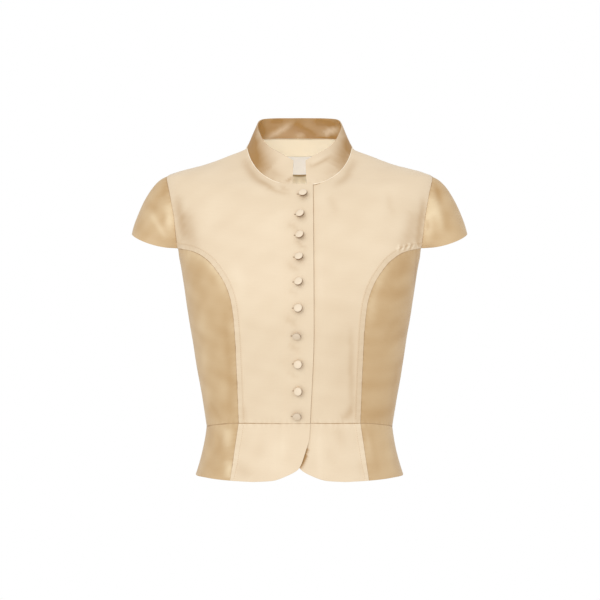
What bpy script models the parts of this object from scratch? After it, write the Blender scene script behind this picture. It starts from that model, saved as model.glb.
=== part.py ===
"""A short satin jacket with a stand collar, cap sleeves, a lapped button front and a flared peplum.

It has the hollow form that it takes when worn. Metres, +Z up, the front towards -Y.
The origin is the middle of the neck, level with the points where the shoulder seams meet the collar.
The wearer's right is at -X, and the right front laps over the left one.
"""

import math

import bmesh
import bpy
import numpy as np
from mathutils import Matrix, Vector

MM = 0.001

# Walls and clearances, in metres
CLOTH = 1.4 * MM  # satin with its interlining
COLLAR_CLOTH = 1.8 * MM  # two layers of satin round a stiffener
LINING_CLOTH = 1.0 * MM
LABEL_CLOTH = 0.6 * MM
SEAM_GAP = 0.3 * MM  # clear space between two pieces sewn together
COLLAR_GAP = 0.5 * MM  # the same under the collar, which meets the neckline at an angle
LAP_LIFT = 1.1 * MM  # the upper front rises by this, and the lower one sinks by it
LAP_RAMP = (23 * MM, 34 * MM)  # how far from the centre front the two fronts come level again
WELT_WIDTH = 8.0 * MM  # the turned seam allowance that is stitched down beside the princess seam
WELT_STEP = 0.9 * MM  # the slope at the edge of that welt
WELT_HEIGHT = 0.7 * MM
WELD = 0.001 * MM  # points of one piece nearer than this are one point

# Figure sections from the nape down to the waist, in millimetres. Each is a rounded oblong whose sides lie
# at half_width, whose front and back lie at those y values, and whose widest line lies at y = centre.
FIGURE_COLUMNS = ("height", "half_width", "front", "back", "centre", "roundness")
FIGURE = (
    (-405, 133.8, -96.0, 63.0, -15.0, 2.30),
    (-365, 140.0, -101.0, 67.0, -15.0, 2.30),
    (-320, 147.8, -110.0, 73.0, -15.0, 2.35),
    (-278, 154.0, -120.0, 79.5, -14.0, 2.40),
    (-249, 159.0, -126.0, 84.0, -13.0, 2.45),
    (-220, 163.2, -127.5, 88.0, -13.0, 2.50),
    (-191, 167.4, -124.0, 91.0, -12.0, 2.55),
    (-168, 171.2, -118.0, 92.5, -11.0, 2.60),
    (-150, 175.5, -112.0, 93.0, -10.0, 2.60),
    (-128, 183.5, -104.0, 92.0, -8.0, 2.60),
    (-103, 190.5, -95.0, 89.5, -5.0, 2.50),
    (-75, 195.0, -83.0, 85.0, -2.0, 2.35),
    (-52, 194.5, -68.0, 79.0, -0.5, 2.25),
    (-42, 192.0, -56.0, 75.5, 0.0, 2.20),
    (-35, 175.0, -49.0, 73.0, 0.0, 2.20),
    (-24, 134.5, -37.5, 68.0, 0.0, 2.20),
    (-12, 102.5, -25.0, 62.0, 0.0, 2.20),
    (0, 76.0, -15.0, 55.0, 0.0, 2.20),
    (14, 75.0, -8.0, 47.0, 0.0, 2.20),
)

# Seam and edge lines seen from the front or the back, in millimetres: x outwards from the centre, and height
LINE_COLUMNS = ("x", "height")
FRONT_NECK = (
    (0, -52),
    (18.8, -51.6),
    (31, -49),
    (43.4, -43.8),
    (56, -35.4),
    (65.5, -24.7),
    (72.4, -12),
    (76, 0),
)
BACK_NECK = ((0, 13.6), (30, 13.7), (54, 12.8), (66, 10), (73, 5.4), (76, 0))
FRONT_PRINCESS = (
    (158, -144.5),
    (145.4, -148),
    (127.9, -158.8),
    (114.2, -174.4),
    (103.5, -191.6),
    (95.1, -216.6),
    (91.3, -247.4),
    (89.7, -276),
    (88.1, -320),
    (86.0, -388),
)
BACK_PRINCESS = (
    (163, -145),
    (141, -155),
    (120, -174),
    (103, -204),
    (91, -250),
    (82, -310),
    (74, -403),
)
LAP_EDGE = ((19.0, -52), (19.7, -150), (20.0, -256), (15.0, -388))
LAP_EDGE_HEIGHT = (-51.6, -388.0)
BREAST_LINE = -180.0  # height on the centre front of the line where each front's upper and lower parts meet
BLADE_LINE = -176.0  # the same on the centre back
COLLAR_END = 9.8  # how far each end of the collar stops from the centre front

# Collar's top edge from its front end to the nape, in millimetres
COLLAR_TOP_COLUMNS = ("x", "y", "height")
COLLAR_TOP = (
    (8.6, -54, -17.8),
    (26.8, -50, -7.5),
    (41.4, -41, 0.7),
    (52.5, -29, 11.6),
    (58.2, -17, 22.6),
    (61.3, -3, 31.8),
    (59.0, 13, 38.4),
    (52.6, 23.5, 41.6),
    (30.0, 32, 43.0),
    (0.0, 35, 43.2),
)

# Armhole, an upright oval on the figure's side, in millimetres
SHOULDER_TIP_HEIGHT = -42.0
ARMHOLE_FOOT_HEIGHT = -166.0
ARMHOLE_FRONT_REACH = 47.0
ARMHOLE_BACK_REACH = 54.0
ARMHOLE_FRONT_SKEW = 0.30  # the oval is fuller low at the front
ARMHOLE_BACK_SKEW = 0.10
SLEEVE_END_ANGLE = math.radians(129)  # from the tip, where sleeve, armhole and princess seam meet

# Cap sleeve, in millimetres
SLEEVE_HEM_TOP = (244.5, -4.0, -124.0)  # the hem's outermost point
SLEEVE_HEM_BULGE = 12.0  # how much further than its ends the hem reaches to the front and back
SLEEVE_HEM_SAG = 1.7  # the power by which the hem rises late, so that it hangs in a curve
SLEEVE_HEAD = (0.28, 0.10, -0.09)  # the head's pull outwards, round and down, as shares of the length
SLEEVE_END_LENGTH = 7.0

# Waist seam and peplum, in millimetres. Azimuth 0 is the centre front and 180 the centre back.
WAIST_COLUMNS = ("azimuth", "height")
WAIST = ((0, -388), (35, -389.5), (65, -396), (90, -402), (180, -403))
HEM_COLUMNS = ("azimuth", "height")
HEM = ((0, -469.5), (60, -469.5), (90, -472), (180, -470))
HEM_SECTION = {"half_width": 150.5, "front": -117.0, "back": 91.0, "centre": -13.0, "roundness": 2.3}
PEPLUM_HOLLOW = 2.0  # how far the flare curves in between the waist and the hem
PEPLUM_FRONT_SEAM = (86.0, 98.0)  # x of the front princess seam at the waist and at the hem
PEPLUM_BACK_SEAM = (74.0, 88.0)
# Rounded front corner of the peplum: share of the way from waist to hem, and x past the centre front
CORNER_COLUMNS = ("down", "x")
CORNER = ((0.0, 15.0), (0.24, 14.0), (0.48, 8.6), (0.77, -1.0), (0.89, -17.6), (0.974, -38.7), (1.0, -64.8))
CORNER_TURN = 3  # the row where the front edge becomes the hem

# Back neck lining and label, in millimetres
LINING_DRAW = 1.0  # how far the lining's edge keeps from the seams round it
LABEL_WIDTH = 40.0
LABEL_HEIGHTS = (-12.0, -39.0)  # top and bottom of the label

# Buttons, in millimetres and degrees: x and height of each on the centre front, and how far its face droops
# and turns to the wearer's left
BUTTON_COLUMNS = ("x", "height", "droop", "turn")
BUTTONS = (
    (4.4, -64, -8, -8),
    (1.0, -92, -9, -15),
    (0.4, -121, -9, -15),
    (-0.7, -151, -10, -13),
    (-1.4, -185, -11, -12),
    (-2.1, -221, -13, -8),
    (-3.9, -260, 15, -3),
    (-2.2, -300, -12, -9),
    (-1.8, -339, -9, -12),
    (-3.8, -376, 13, 0),
)
BUTTON_CLEARANCE = 0.7  # from the cloth to the end of the shank, which lets the button tilt
BUTTON_SIDES = 14
# Button's outline from the shank's end to the middle of the dome, in millimetres
BUTTON_PROFILE_COLUMNS = ("radius", "height")
BUTTON_PROFILE = ((0, 0), (1.6, 0), (1.6, 1.5), (5.5, 1.9), (6.5, 3.0), (5.9, 4.3), (3.6, 5.3), (0, 5.6))

# How finely each line is divided
LAP_STEPS = 2
NECK_STEPS = 8
SHOULDER_STEPS = 7
YOKE_SPLIT = 6  # columns that end on the upper, level part of the princess seam
ARMHOLE_STEPS = 9
PRINCESS_STEPS = 19
ARMHOLE_FOOT_STEPS = 10
SLEEVE_STEPS = 7
COLLAR_STEPS = 3
CORNER_STEPS = 7
HEM_STEPS = 6
LINING_ROWS = 7  # rows of the back that the lining covers
LINING_SHOULDER_STEPS = 3
PRINCESS_CROWDING = 1.25  # above 1, the points crowd towards the armhole, where the seam bends


def column(rows, names, name):
    """One named column of a table, as an array."""
    return np.array([row[names.index(name)] for row in rows], float)


def smooth(knots, values, at):
    """A smooth line through the values at rising knots that never swings past them."""
    step = np.diff(knots)
    slope = np.diff(values) / step
    ahead, behind = slope[1:], slope[:-1]
    same_way = ahead * behind > 0
    weight_a = 2 * step[1:] + step[:-1]
    weight_b = step[1:] + 2 * step[:-1]
    safe = np.where(same_way, ahead * behind, 1.0)
    weighed = weight_a * np.where(same_way, ahead, 1) + weight_b * np.where(same_way, behind, 1)
    middle = (weight_a + weight_b) * safe / weighed
    tangent = np.concatenate([slope[:1], np.where(same_way, middle, 0.0), slope[-1:]])
    at = np.clip(at, knots[0], knots[-1])
    i = np.clip(np.searchsorted(knots, at, side="right") - 1, 0, len(step) - 1)
    t = (at - knots[i]) / step[i]
    return (
        values[i] * (1 + 2 * t) * (1 - t) ** 2
        + tangent[i] * step[i] * t * (1 - t) ** 2
        + values[i + 1] * t**2 * (3 - 2 * t)
        + tangent[i + 1] * step[i] * t**2 * (t - 1)
    )


def lengths(points):
    """Distance along a line of points, from 0 at its first."""
    return np.concatenate([[0.0], np.cumsum(np.linalg.norm(np.diff(points, axis=0), axis=1))])


def along(points, shares):
    """Points at the given shares of a smooth line's length."""
    walked = lengths(points)
    at = np.asarray(shares) * walked[-1]
    return np.column_stack([smooth(walked, values, at) for values in points.T])


def even(steps):
    return np.linspace(0.0, 1.0, steps + 1)


def section_at(height):
    """Half width, front, back, centre and roundness of the figure at each height, in metres."""
    knots = column(FIGURE, FIGURE_COLUMNS, "height") * MM
    parts = [smooth(knots, column(FIGURE, FIGURE_COLUMNS, name) * MM, height) for name in FIGURE_COLUMNS[1:5]]
    return (*parts, smooth(knots, column(FIGURE, FIGURE_COLUMNS, "roundness"), height))


def looseness(points):
    """0 on the figure, above 0 outside it and below 0 inside, nearly in proportion to the distance."""
    half_width, front, back, centre, power = section_at(points[..., 2])
    depth = np.where(points[..., 1] < centre, centre - front, back - centre)
    wide = np.abs(points[..., 0]) / half_width
    deep = np.abs(points[..., 1] - centre) / depth
    return (wide**power + deep**power) ** (1 / power) - 1


def slope_of(points, reach=0.05 * MM):
    """How fast looseness rises along each axis."""
    steps = np.eye(3) * reach
    return np.stack([(looseness(points + s) - looseness(points - s)) / (2 * reach) for s in steps], axis=-1)


def outward(points):
    """Unit vectors that stand off the figure."""
    slope = slope_of(points)
    return slope / np.linalg.norm(slope, axis=-1, keepdims=True)


def settle(points):
    """Moves points that lie near the figure onto it."""
    for _ in range(8):
        slope = slope_of(points)
        points = points - slope * (looseness(points) / (slope**2).sum(axis=-1))[..., None]
    return points


def on_sheet(x, height, side):
    """Points of the figure's front (side -1) or back (side +1) that show at x and height."""
    half_width, front, back, centre, power = section_at(height)
    depth = np.where(side < 0, centre - front, back - centre)
    inside = np.clip(1 - (np.abs(x) / half_width) ** power, 0, 1)
    return np.column_stack([x, centre + side * depth * inside ** (1 / power), height])


def seen_line(rows, side, start=None, names=LINE_COLUMNS):
    """A dense line on the figure through a table's rows, from a start point if one is given."""
    flat = np.column_stack([column(rows, names, "x"), column(rows, names, "height")]) * MM
    if start is not None:
        flat = np.vstack([start[[0, 2]], flat])
    fine = along(flat, even(240))
    line = on_sheet(fine[:, 0], fine[:, 1], side)
    if start is not None:
        line[0] = start
    return line


def shoulder_line():
    """Along the top of the shoulder, from the neck to the tip."""
    height = np.linspace(0.0, SHOULDER_TIP_HEIGHT * MM, 240)
    return np.column_stack([section_at(height)[0], np.zeros_like(height), height])


def armhole_line(side, start, end):
    """The armhole at the front (side -1) or back (side +1), between two angles from the shoulder tip."""
    angle = np.linspace(start, end, 240)
    middle = (SHOULDER_TIP_HEIGHT + ARMHOLE_FOOT_HEIGHT) / 2 * MM
    reach = (SHOULDER_TIP_HEIGHT - ARMHOLE_FOOT_HEIGHT) / 2 * MM
    out, skew = (ARMHOLE_BACK_REACH, ARMHOLE_BACK_SKEW)
    if side < 0:
        out, skew = (ARMHOLE_FRONT_REACH, ARMHOLE_FRONT_SKEW)
    y = side * out * MM * np.sin(angle) * (1 - skew * np.cos(angle))
    height = middle + reach * np.cos(angle)
    half_width, front, back, centre, power = section_at(height)
    depth = np.where(y < centre, centre - front, back - centre)
    x = half_width * (1 - (np.abs(y - centre) / depth) ** power) ** (1 / power)
    return np.column_stack([x, y, height])


def fill(top, bottom, inner, outer):
    """A grid between four lines: rows run from inner to outer, and columns from top to bottom."""
    across = (lengths(top) / lengths(top)[-1] + lengths(bottom) / lengths(bottom)[-1]) / 2
    down = (lengths(inner) / lengths(inner)[-1] + lengths(outer) / lengths(outer)[-1]) / 2
    s, t = across[None, :, None], down[:, None, None]
    corners = (
        (1 - s) * (1 - t) * top[0] + s * (1 - t) * top[-1] + (1 - s) * t * bottom[0] + s * t * bottom[-1]
    )
    return (1 - s) * inner[:, None] + s * outer[:, None] + (1 - t) * top[None] + t * bottom[None] - corners


def fill_on_figure(top, bottom, inner, outer):
    """As fill, with the inside of the grid laid on the figure."""
    grid = fill(top, bottom, inner, outer)
    grid[1:-1, 1:-1] = settle(grid[1:-1, 1:-1])
    return grid


def chord_on_figure(first, last, steps, side):
    """Points on the figure's front or back that look evenly spread on a straight line between two others."""
    flat = first[None] * (1 - even(steps))[:, None] + last[None] * even(steps)[:, None]
    line = on_sheet(flat[:, 0], flat[:, 2], side)
    line[0], line[-1] = first, last
    return line


def aside_from(line, distance):
    """Points of the figure beside a line, on the side towards the centre of the garment."""
    run = np.gradient(line, axis=0)
    away = np.cross(run, outward(line))
    away /= np.linalg.norm(away, axis=1, keepdims=True)
    return settle(line + away * distance)


def normals_of(grid):
    """Unit normals of a grid, from the directions of its rows and columns."""
    across = np.gradient(grid, axis=1)
    down = np.gradient(grid, axis=0)
    normal = np.cross(down, across)
    return normal / np.linalg.norm(normal, axis=2, keepdims=True)


def mirrored(grid):
    """The same grid on the other side of the garment, facing out as before."""
    return grid[:, ::-1] * np.array([-1.0, 1.0, 1.0])


def both_halves(half):
    """A grid across the centre line, from its half at +X, whose first column lies on that line."""
    return np.concatenate([mirrored(half)[:, :-1], half], axis=1)


def sewn(grids):
    """One net of points and four-sided cells from grids that meet in common points."""
    points = np.concatenate([grid.reshape(-1, 3) for grid in grids])
    cells, used = [], 0
    for grid in grids:
        cells.append(net_of(grid.shape) + used)
        used += grid.shape[0] * grid.shape[1]
    rounded = np.round(points / WELD).astype(int)
    _, first, index = np.unique(rounded, axis=0, return_index=True, return_inverse=True)
    return points[first], index.reshape(-1)[np.concatenate(cells)]


def border(cells):
    """The directed edges that belong to one cell only."""
    edges = np.concatenate([cells[:, [k, (k + 1) % 4]] for k in range(4)])
    _, index, count = np.unique(np.sort(edges, axis=1), axis=0, return_inverse=True, return_counts=True)
    return edges[count[index.reshape(-1)] == 1]


def part_seams(points, cells, normal, distance=SEAM_GAP / 2):
    """Draws the border of a net back along the cloth, so that two pieces sewn together stay clear."""
    edges = border(cells)
    run = points[edges[:, 1]] - points[edges[:, 0]]
    inward = np.cross(normal[edges[:, 0]] + normal[edges[:, 1]], run)
    inward /= np.linalg.norm(inward, axis=1, keepdims=True)
    first, across, _, down = (points[cells[:, k]] for k in range(4))
    facing = np.cross(across - first, down - first) * normal[cells[:, 0]]
    inward *= np.sign(facing.sum())
    total = np.zeros_like(points)
    for end in (0, 1):
        np.add.at(total, edges[:, end], inward)
    share = (total**2).sum(axis=1, keepdims=True) / 2
    return points + total / np.maximum(share, 0.5) * distance


def material(name, rgb, roughness, sheen=0.0):
    made = bpy.data.materials.new(name)
    made.use_nodes = True
    shader = made.node_tree.nodes["Principled BSDF"]
    shader.inputs["Base Color"].default_value = (*rgb, 1.0)
    shader.inputs["Roughness"].default_value = roughness
    shader.inputs["Sheen Weight"].default_value = sheen
    return made


def add_object(name, mesh, finish, collection):
    mesh.materials.append(finish)
    made = bpy.data.objects.new(name, mesh)
    collection.objects.link(made)
    return made


def wall(name, outer, inner, cells, finish, collection):
    """A closed wall of cloth between an outer and an inner net of points, joined by a rim."""
    under = len(outer)
    edges = border(cells)
    rim = np.stack([edges[:, 1], edges[:, 0], edges[:, 0] + under, edges[:, 1] + under], axis=-1)
    faces = np.concatenate([cells, cells[:, [0, 3, 2, 1]] + under, rim])
    mesh = bpy.data.meshes.new(name)
    mesh.from_pydata(np.concatenate([outer, inner]).tolist(), [], faces.tolist())
    shell = bmesh.new()
    shell.from_mesh(mesh)
    bmesh.ops.recalc_face_normals(shell, faces=shell.faces)
    shell.to_mesh(mesh)
    shell.free()
    mesh.shade_smooth()
    mesh.set_sharp_from_angle(angle=math.radians(50))
    return add_object(name, mesh, finish, collection)


def net_of(shape):
    """The cells of a grid with this many rows and columns."""
    index = np.arange(shape[0] * shape[1]).reshape(shape[:2])
    return np.stack([index[:-1, :-1], index[:-1, 1:], index[1:, 1:], index[1:, :-1]], axis=-1).reshape(-1, 4)


def sheet(names, grid, normal, thickness, finish, collection):
    """Walls of even thickness under one grid of points, one for each name."""
    for name in names:
        outer, inner = (points.reshape(-1, 3) * flip_of(name) for points in (grid, grid - normal * thickness))
        wall(name, outer, inner, net_of(grid.shape), finish, collection)


def flip_of(name):
    """What turns a piece made at +X into the one that its name asks for."""
    return np.array([-1.0 if name.endswith("right") else 1.0, 1.0, 1.0])


def panel(name, points, cells, normal, finish, collection, lift=0.0, rise=0.0):
    """A wall of cloth under a net of points, lifted near the lapped edge and raised on a welt."""
    parted = part_seams(points, cells, normal)
    base = parted + normal * (lift * lap_share(-points[:, 0]))[:, None]
    flip = flip_of(name)
    raised = base + normal * np.broadcast_to(rise, len(points))[:, None]
    wall(name, raised * flip, (base - normal * CLOTH) * flip, cells, finish, collection)


def lap_share(x_past_centre):
    """1 in the lapped part of a front, falling to 0 further out. x counts up towards the lapped edge."""
    near, far = LAP_RAMP
    t = np.clip((x_past_centre + far) / (far - near), 0, 1)
    return t * t * (3 - 2 * t)


def seams():
    """Every line that two pieces share, on the side at +X, with the points that both pieces use."""
    front_neck = seen_line(FRONT_NECK, -1)
    front_neck = front_neck[front_neck[:, 0] >= COLLAR_END * MM]
    front_armhole = armhole_line(-1, 0.0, SLEEVE_END_ANGLE)
    back_armhole = armhole_line(1, 0.0, SLEEVE_END_ANGLE)
    front_foot = armhole_line(-1, SLEEVE_END_ANGLE, math.pi)
    back_foot = armhole_line(1, math.pi, SLEEVE_END_ANGLE)
    welt = (WELT_WIDTH + WELT_STEP) / lengths(front_armhole)[-1]
    crowded = even(PRINCESS_STEPS) ** PRINCESS_CROWDING
    lines = {
        "front_neck": along(front_neck, even(NECK_STEPS)),
        "back_neck": along(seen_line(BACK_NECK, 1), even(NECK_STEPS)),
        "shoulder": along(shoulder_line(), even(SHOULDER_STEPS)),
        "front_armhole": along(front_armhole, np.append(even(ARMHOLE_STEPS) * (1 - welt), 1.0)),
        "back_armhole": along(back_armhole, even(ARMHOLE_STEPS + 1)),
        "armhole_foot": along(np.vstack([front_foot, back_foot[1:]]), even(ARMHOLE_FOOT_STEPS)),
        "front_princess": along(seen_line(FRONT_PRINCESS, -1, front_armhole[-1]), crowded),
        "back_princess": along(seen_line(BACK_PRINCESS, 1, back_armhole[-1]), crowded),
    }
    for name in ("front_princess", "back_princess"):
        lines[name][-1] = waist_line(*figure_azimuth(lines[name][-1:])[[0, 0]], [0.0])[0]
    return lines


def figure_at(azimuth, height):
    """Points of the figure at azimuths from the centre front round to the centre back, and at heights."""
    half_width, front, back, centre, power = section_at(height)
    depth = np.where(azimuth < 90, centre - front, back - centre)
    turn = np.radians(azimuth)
    x = half_width * np.abs(np.sin(turn)) ** (2 / power)
    y = centre - np.sign(np.cos(turn)) * depth * np.abs(np.cos(turn)) ** (2 / power)
    return np.column_stack([x, y, height])


def waist_at(azimuth):
    knots = column(WAIST, WAIST_COLUMNS, "azimuth")
    height = smooth(knots, column(WAIST, WAIST_COLUMNS, "height") * MM, azimuth)
    return figure_at(azimuth, height)


def hem_at(azimuth):
    """Points of the peplum's level hem at azimuths."""
    knots = column(HEM, HEM_COLUMNS, "azimuth")
    height = smooth(knots, column(HEM, HEM_COLUMNS, "height") * MM, azimuth)
    side, front, back, centre = (HEM_SECTION[k] * MM for k in ("half_width", "front", "back", "centre"))
    power = HEM_SECTION["roundness"]
    turn = np.radians(azimuth)
    depth = np.where(azimuth < 90, centre - front, back - centre)
    x = side * np.abs(np.sin(turn)) ** (2 / power)
    y = centre - np.sign(np.cos(turn)) * depth * np.abs(np.cos(turn)) ** (2 / power)
    return np.column_stack([x, y, height])


def peplum_at(azimuth, down):
    """Points of the peplum at azimuths, and at shares of the way down from the waist seam to the hem.

    A negative azimuth lies past the centre front.
    """
    side = np.where(azimuth < 0, -1.0, 1.0)
    azimuth, down = np.abs(azimuth).ravel(), np.asarray(down, float).ravel()
    top, foot = waist_at(azimuth), hem_at(azimuth)
    flat = top * (1 - down[:, None]) + foot * down[:, None]
    hollow = PEPLUM_HOLLOW * MM * 4 * down * (1 - down)
    centre = np.array([0.0, HEM_SECTION["centre"] * MM])
    inwards = centre - flat[:, :2]
    flat[:, :2] += inwards / np.linalg.norm(inwards, axis=1, keepdims=True) * hollow[:, None]
    flat[:, 0] *= side.ravel()
    return flat


def peplum_outward(azimuth, down, turn=0.2, drop=0.01):
    """Unit vectors that stand off the peplum."""
    across = peplum_at(azimuth + turn, down) - peplum_at(azimuth - turn, down)
    fall = peplum_at(azimuth, np.ravel(down) + drop) - peplum_at(azimuth, np.ravel(down) - drop)
    normal = np.cross(fall, across)
    return normal / np.linalg.norm(normal, axis=1, keepdims=True)


def azimuth_of(x, down, back=False):
    """The azimuths where the peplum lies at x, at shares of the way down."""
    turns = np.linspace(90, 180, 1800)[::-1] if back else np.linspace(-40, 90, 2600)
    found = [np.interp(a, peplum_at(turns, np.full_like(turns, b))[:, 0], turns) for a, b in zip(x, down)]
    return np.array(found)


def figure_azimuth(points):
    """The azimuths of points that lie on the figure, negative past the centre front."""
    half_width, _, _, centre, power = section_at(points[:, 2])
    sine = np.clip((np.abs(points[:, 0]) / half_width), 0, 1) ** (power / 2)
    turn = np.degrees(np.arcsin(sine))
    turn = np.where(points[:, 1] > centre, 180 - turn, turn)
    return np.where(points[:, 0] < 0, -turn, turn)


def waist_at_signed(azimuth):
    points = waist_at(np.abs(azimuth))
    points[:, 0] *= np.where(azimuth < 0, -1.0, 1.0)
    return points


def waist_line(start, end, shares):
    """Points of the waist seam between two azimuths, at shares of the way."""
    return waist_at_signed(start + (end - start) * np.asarray(shares))


def welt_strip(lines):
    """The welt beside the front princess seam: columns at its foot, at its brow and on the seam itself."""
    seam, armhole = lines["front_princess"], lines["front_armhole"]
    strip = np.stack([aside_from(seam, WELT_WIDTH + WELT_STEP), aside_from(seam, WELT_WIDTH), seam], axis=1)
    start = along(armhole[-2:], [0.0, WELT_STEP / (WELT_WIDTH + WELT_STEP), 1.0])
    strip[0] = [start[0], start[1], armhole[-1]]
    turn = figure_azimuth(strip[-1])
    strip[-1] = waist_at_signed(turn)
    return strip


def front_blocks(lines):
    """The front at +X in three grids: above the breast line, below it, and the welt beside the seam."""
    steps = LAP_STEPS + NECK_STEPS + SHOULDER_STEPS - YOKE_SPLIT
    edge_x = column(LAP_EDGE, LINE_COLUMNS, "x") * MM
    edge_height = column(LAP_EDGE, LINE_COLUMNS, "height") * MM
    neck, waist, breast = (h * MM for h in (*LAP_EDGE_HEIGHT, BREAST_LINE))
    lower_heights = breast + (waist - breast) * even(PRINCESS_STEPS - YOKE_SPLIT)
    heights = np.concatenate([np.linspace(neck, breast, ARMHOLE_STEPS + 1), lower_heights[1:]])
    inner = on_sheet(-smooth(edge_height[::-1], edge_x[::-1], heights), heights, -1)
    strip = welt_strip(lines)
    lap_top = on_sheet(np.array([-COLLAR_END, 0.0]) * MM, np.full(2, neck), -1)
    top = np.vstack([inner[:1], lap_top, lines["front_neck"][1:], lines["shoulder"][1:]])
    turn = figure_azimuth(np.array([inner[-1], strip[-1, 0]]))
    bottom = waist_line(turn[0], turn[1], even(steps))
    inner[-1] = bottom[0]
    split = chord_on_figure(inner[ARMHOLE_STEPS], strip[YOKE_SPLIT, 0], steps, -1)
    foot = np.vstack([split, strip[YOKE_SPLIT - 1 :: -1, 0]])
    upper = fill_on_figure(top, foot, inner[: ARMHOLE_STEPS + 1], lines["front_armhole"][:-1])
    lower = fill_on_figure(split, bottom, inner[ARMHOLE_STEPS:], strip[YOKE_SPLIT:, 0])
    return upper, lower, strip


def on_welt(points, strip):
    """1 at the points of a welt's brow and seam, and 0 elsewhere."""
    raised = strip[:, 1:].reshape(-1, 3)
    near = np.linalg.norm(points[:, None] - raised[None], axis=2).min(axis=1)
    return (near < WELD).astype(float)


def make_fronts(lines, finish, collection):
    """Both fronts: the wearer's right one laps over the left one, which is its mirror image."""
    upper, lower, strip = front_blocks(lines)
    points, cells = sewn([upper, lower, strip])
    normal = outward(points)
    rise = WELT_HEIGHT * on_welt(points, strip)
    panel("front_right", points, cells, normal, finish, collection, LAP_LIFT, rise)
    panel("front_left", points, cells, normal, finish, collection, -LAP_LIFT, rise)
    return np.vstack([lower[-1], strip[-1, 1:]])


def make_sides(lines, finish, collection):
    """The panel under each arm, between the front and the back princess seams."""
    turn = figure_azimuth(np.array([lines["front_princess"][-1], lines["back_princess"][-1]]))
    bottom = waist_line(turn[0], turn[1], even(ARMHOLE_FOOT_STEPS))
    grid = fill_on_figure(lines["armhole_foot"], bottom, lines["front_princess"], lines["back_princess"])
    points, cells = sewn([grid])
    for name in ("side_right", "side_left"):
        panel(name, points, cells, outward(points), finish, collection)
    return grid[-1]


def make_back(lines, finish, collection):
    """The back, cut in one piece from princess seam to princess seam, in grids above and below the blades."""
    steps = NECK_STEPS + SHOULDER_STEPS - YOKE_SPLIT
    seam = lines["back_princess"]
    top = np.vstack([lines["back_neck"], lines["shoulder"][1:]])
    blade, waist = BLADE_LINE * MM, waist_at(np.array([180.0]))[0, 2]
    lower_heights = blade + (waist - blade) * even(PRINCESS_STEPS - YOKE_SPLIT)
    heights = np.concatenate([np.linspace(top[0, 2], blade, ARMHOLE_STEPS + 2), lower_heights[1:]])
    inner = on_sheet(np.zeros_like(heights), heights, 1)
    bottom = waist_line(180.0, figure_azimuth(seam[-1:])[0], even(steps))
    inner[-1], bottom[-1] = bottom[0], seam[-1]
    split = chord_on_figure(inner[ARMHOLE_STEPS + 1], seam[YOKE_SPLIT], steps, 1)
    foot = np.vstack([split, seam[YOKE_SPLIT - 1 :: -1]])
    upper = both_halves(fill_on_figure(top, foot, inner[: ARMHOLE_STEPS + 2], lines["back_armhole"]))
    lower = both_halves(fill_on_figure(split, bottom, inner[ARMHOLE_STEPS + 1 :], seam[YOKE_SPLIT:]))
    points, cells = sewn([upper, lower])
    panel("back", points, cells, outward(points), finish, collection)
    return upper, bottom


def between(ends, shares):
    """Metres at shares of the way between two sizes in millimetres."""
    return (ends[0] * (1 - shares) + ends[1] * shares) * MM


def peplum_net(azimuth, down):
    """Points, cells and normals of a peplum panel from its grids of azimuths and shares of the way down."""
    grid = peplum_at(azimuth, down).reshape(*azimuth.shape, 3)
    normal = peplum_outward(azimuth.ravel(), down.ravel())
    return grid.reshape(-1, 3), net_of(azimuth.shape), normal


def make_peplum_fronts(waist, finish, collection):
    """The two lapped fronts of the peplum, whose front edge runs in a round corner into the hem."""
    top_turn = figure_azimuth(waist)
    down = column(CORNER, CORNER_COLUMNS, "down")
    corner = np.column_stack([down, -column(CORNER, CORNER_COLUMNS, "x") * MM])
    turn_share = lengths(corner)[CORNER_TURN] / lengths(corner)[-1]
    walked = along(corner * np.array([80 * MM, 1.0]), np.linspace(0, 1, 201)) / np.array([80 * MM, 1.0])
    turn = int(round(turn_share * 200))
    edge = walked[np.linspace(0, turn, CORNER_STEPS + 1).astype(int)]
    seam_x = between(PEPLUM_FRONT_SEAM, even(CORNER_STEPS))
    outer = np.column_stack([even(CORNER_STEPS), azimuth_of(seam_x, even(CORNER_STEPS))])
    outer[0, 1] = top_turn[-1]
    inner = np.column_stack([edge[:, 0], azimuth_of(edge[:, 1], edge[:, 0])])
    inner[0, 1] = top_turn[0]
    top = np.column_stack([np.zeros(len(top_turn)), top_turn])
    curve = walked[turn:]
    curve = np.vstack([curve, [1.0, seam_x[-1]]])
    spread = lengths(waist) / lengths(waist)[-1]
    reach = lengths(curve * np.array([80 * MM, 1.0]))
    hem = np.column_stack([np.interp(spread * reach[-1], reach, curve[:, k]) for k in (0, 1)])
    bottom = np.column_stack([hem[:, 0], azimuth_of(hem[:, 1], hem[:, 0])])
    grid = fill(top, bottom, inner, outer)
    points, cells, normal = peplum_net(grid[..., 1], grid[..., 0])
    rise = np.zeros(grid.shape[:2])
    rise[:, -2:] = WELT_HEIGHT
    panel("peplum_front_right", points, cells, normal, finish, collection, LAP_LIFT, rise.ravel())
    panel("peplum_front_left", points, cells, normal, finish, collection, -LAP_LIFT, rise.ravel())


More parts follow.
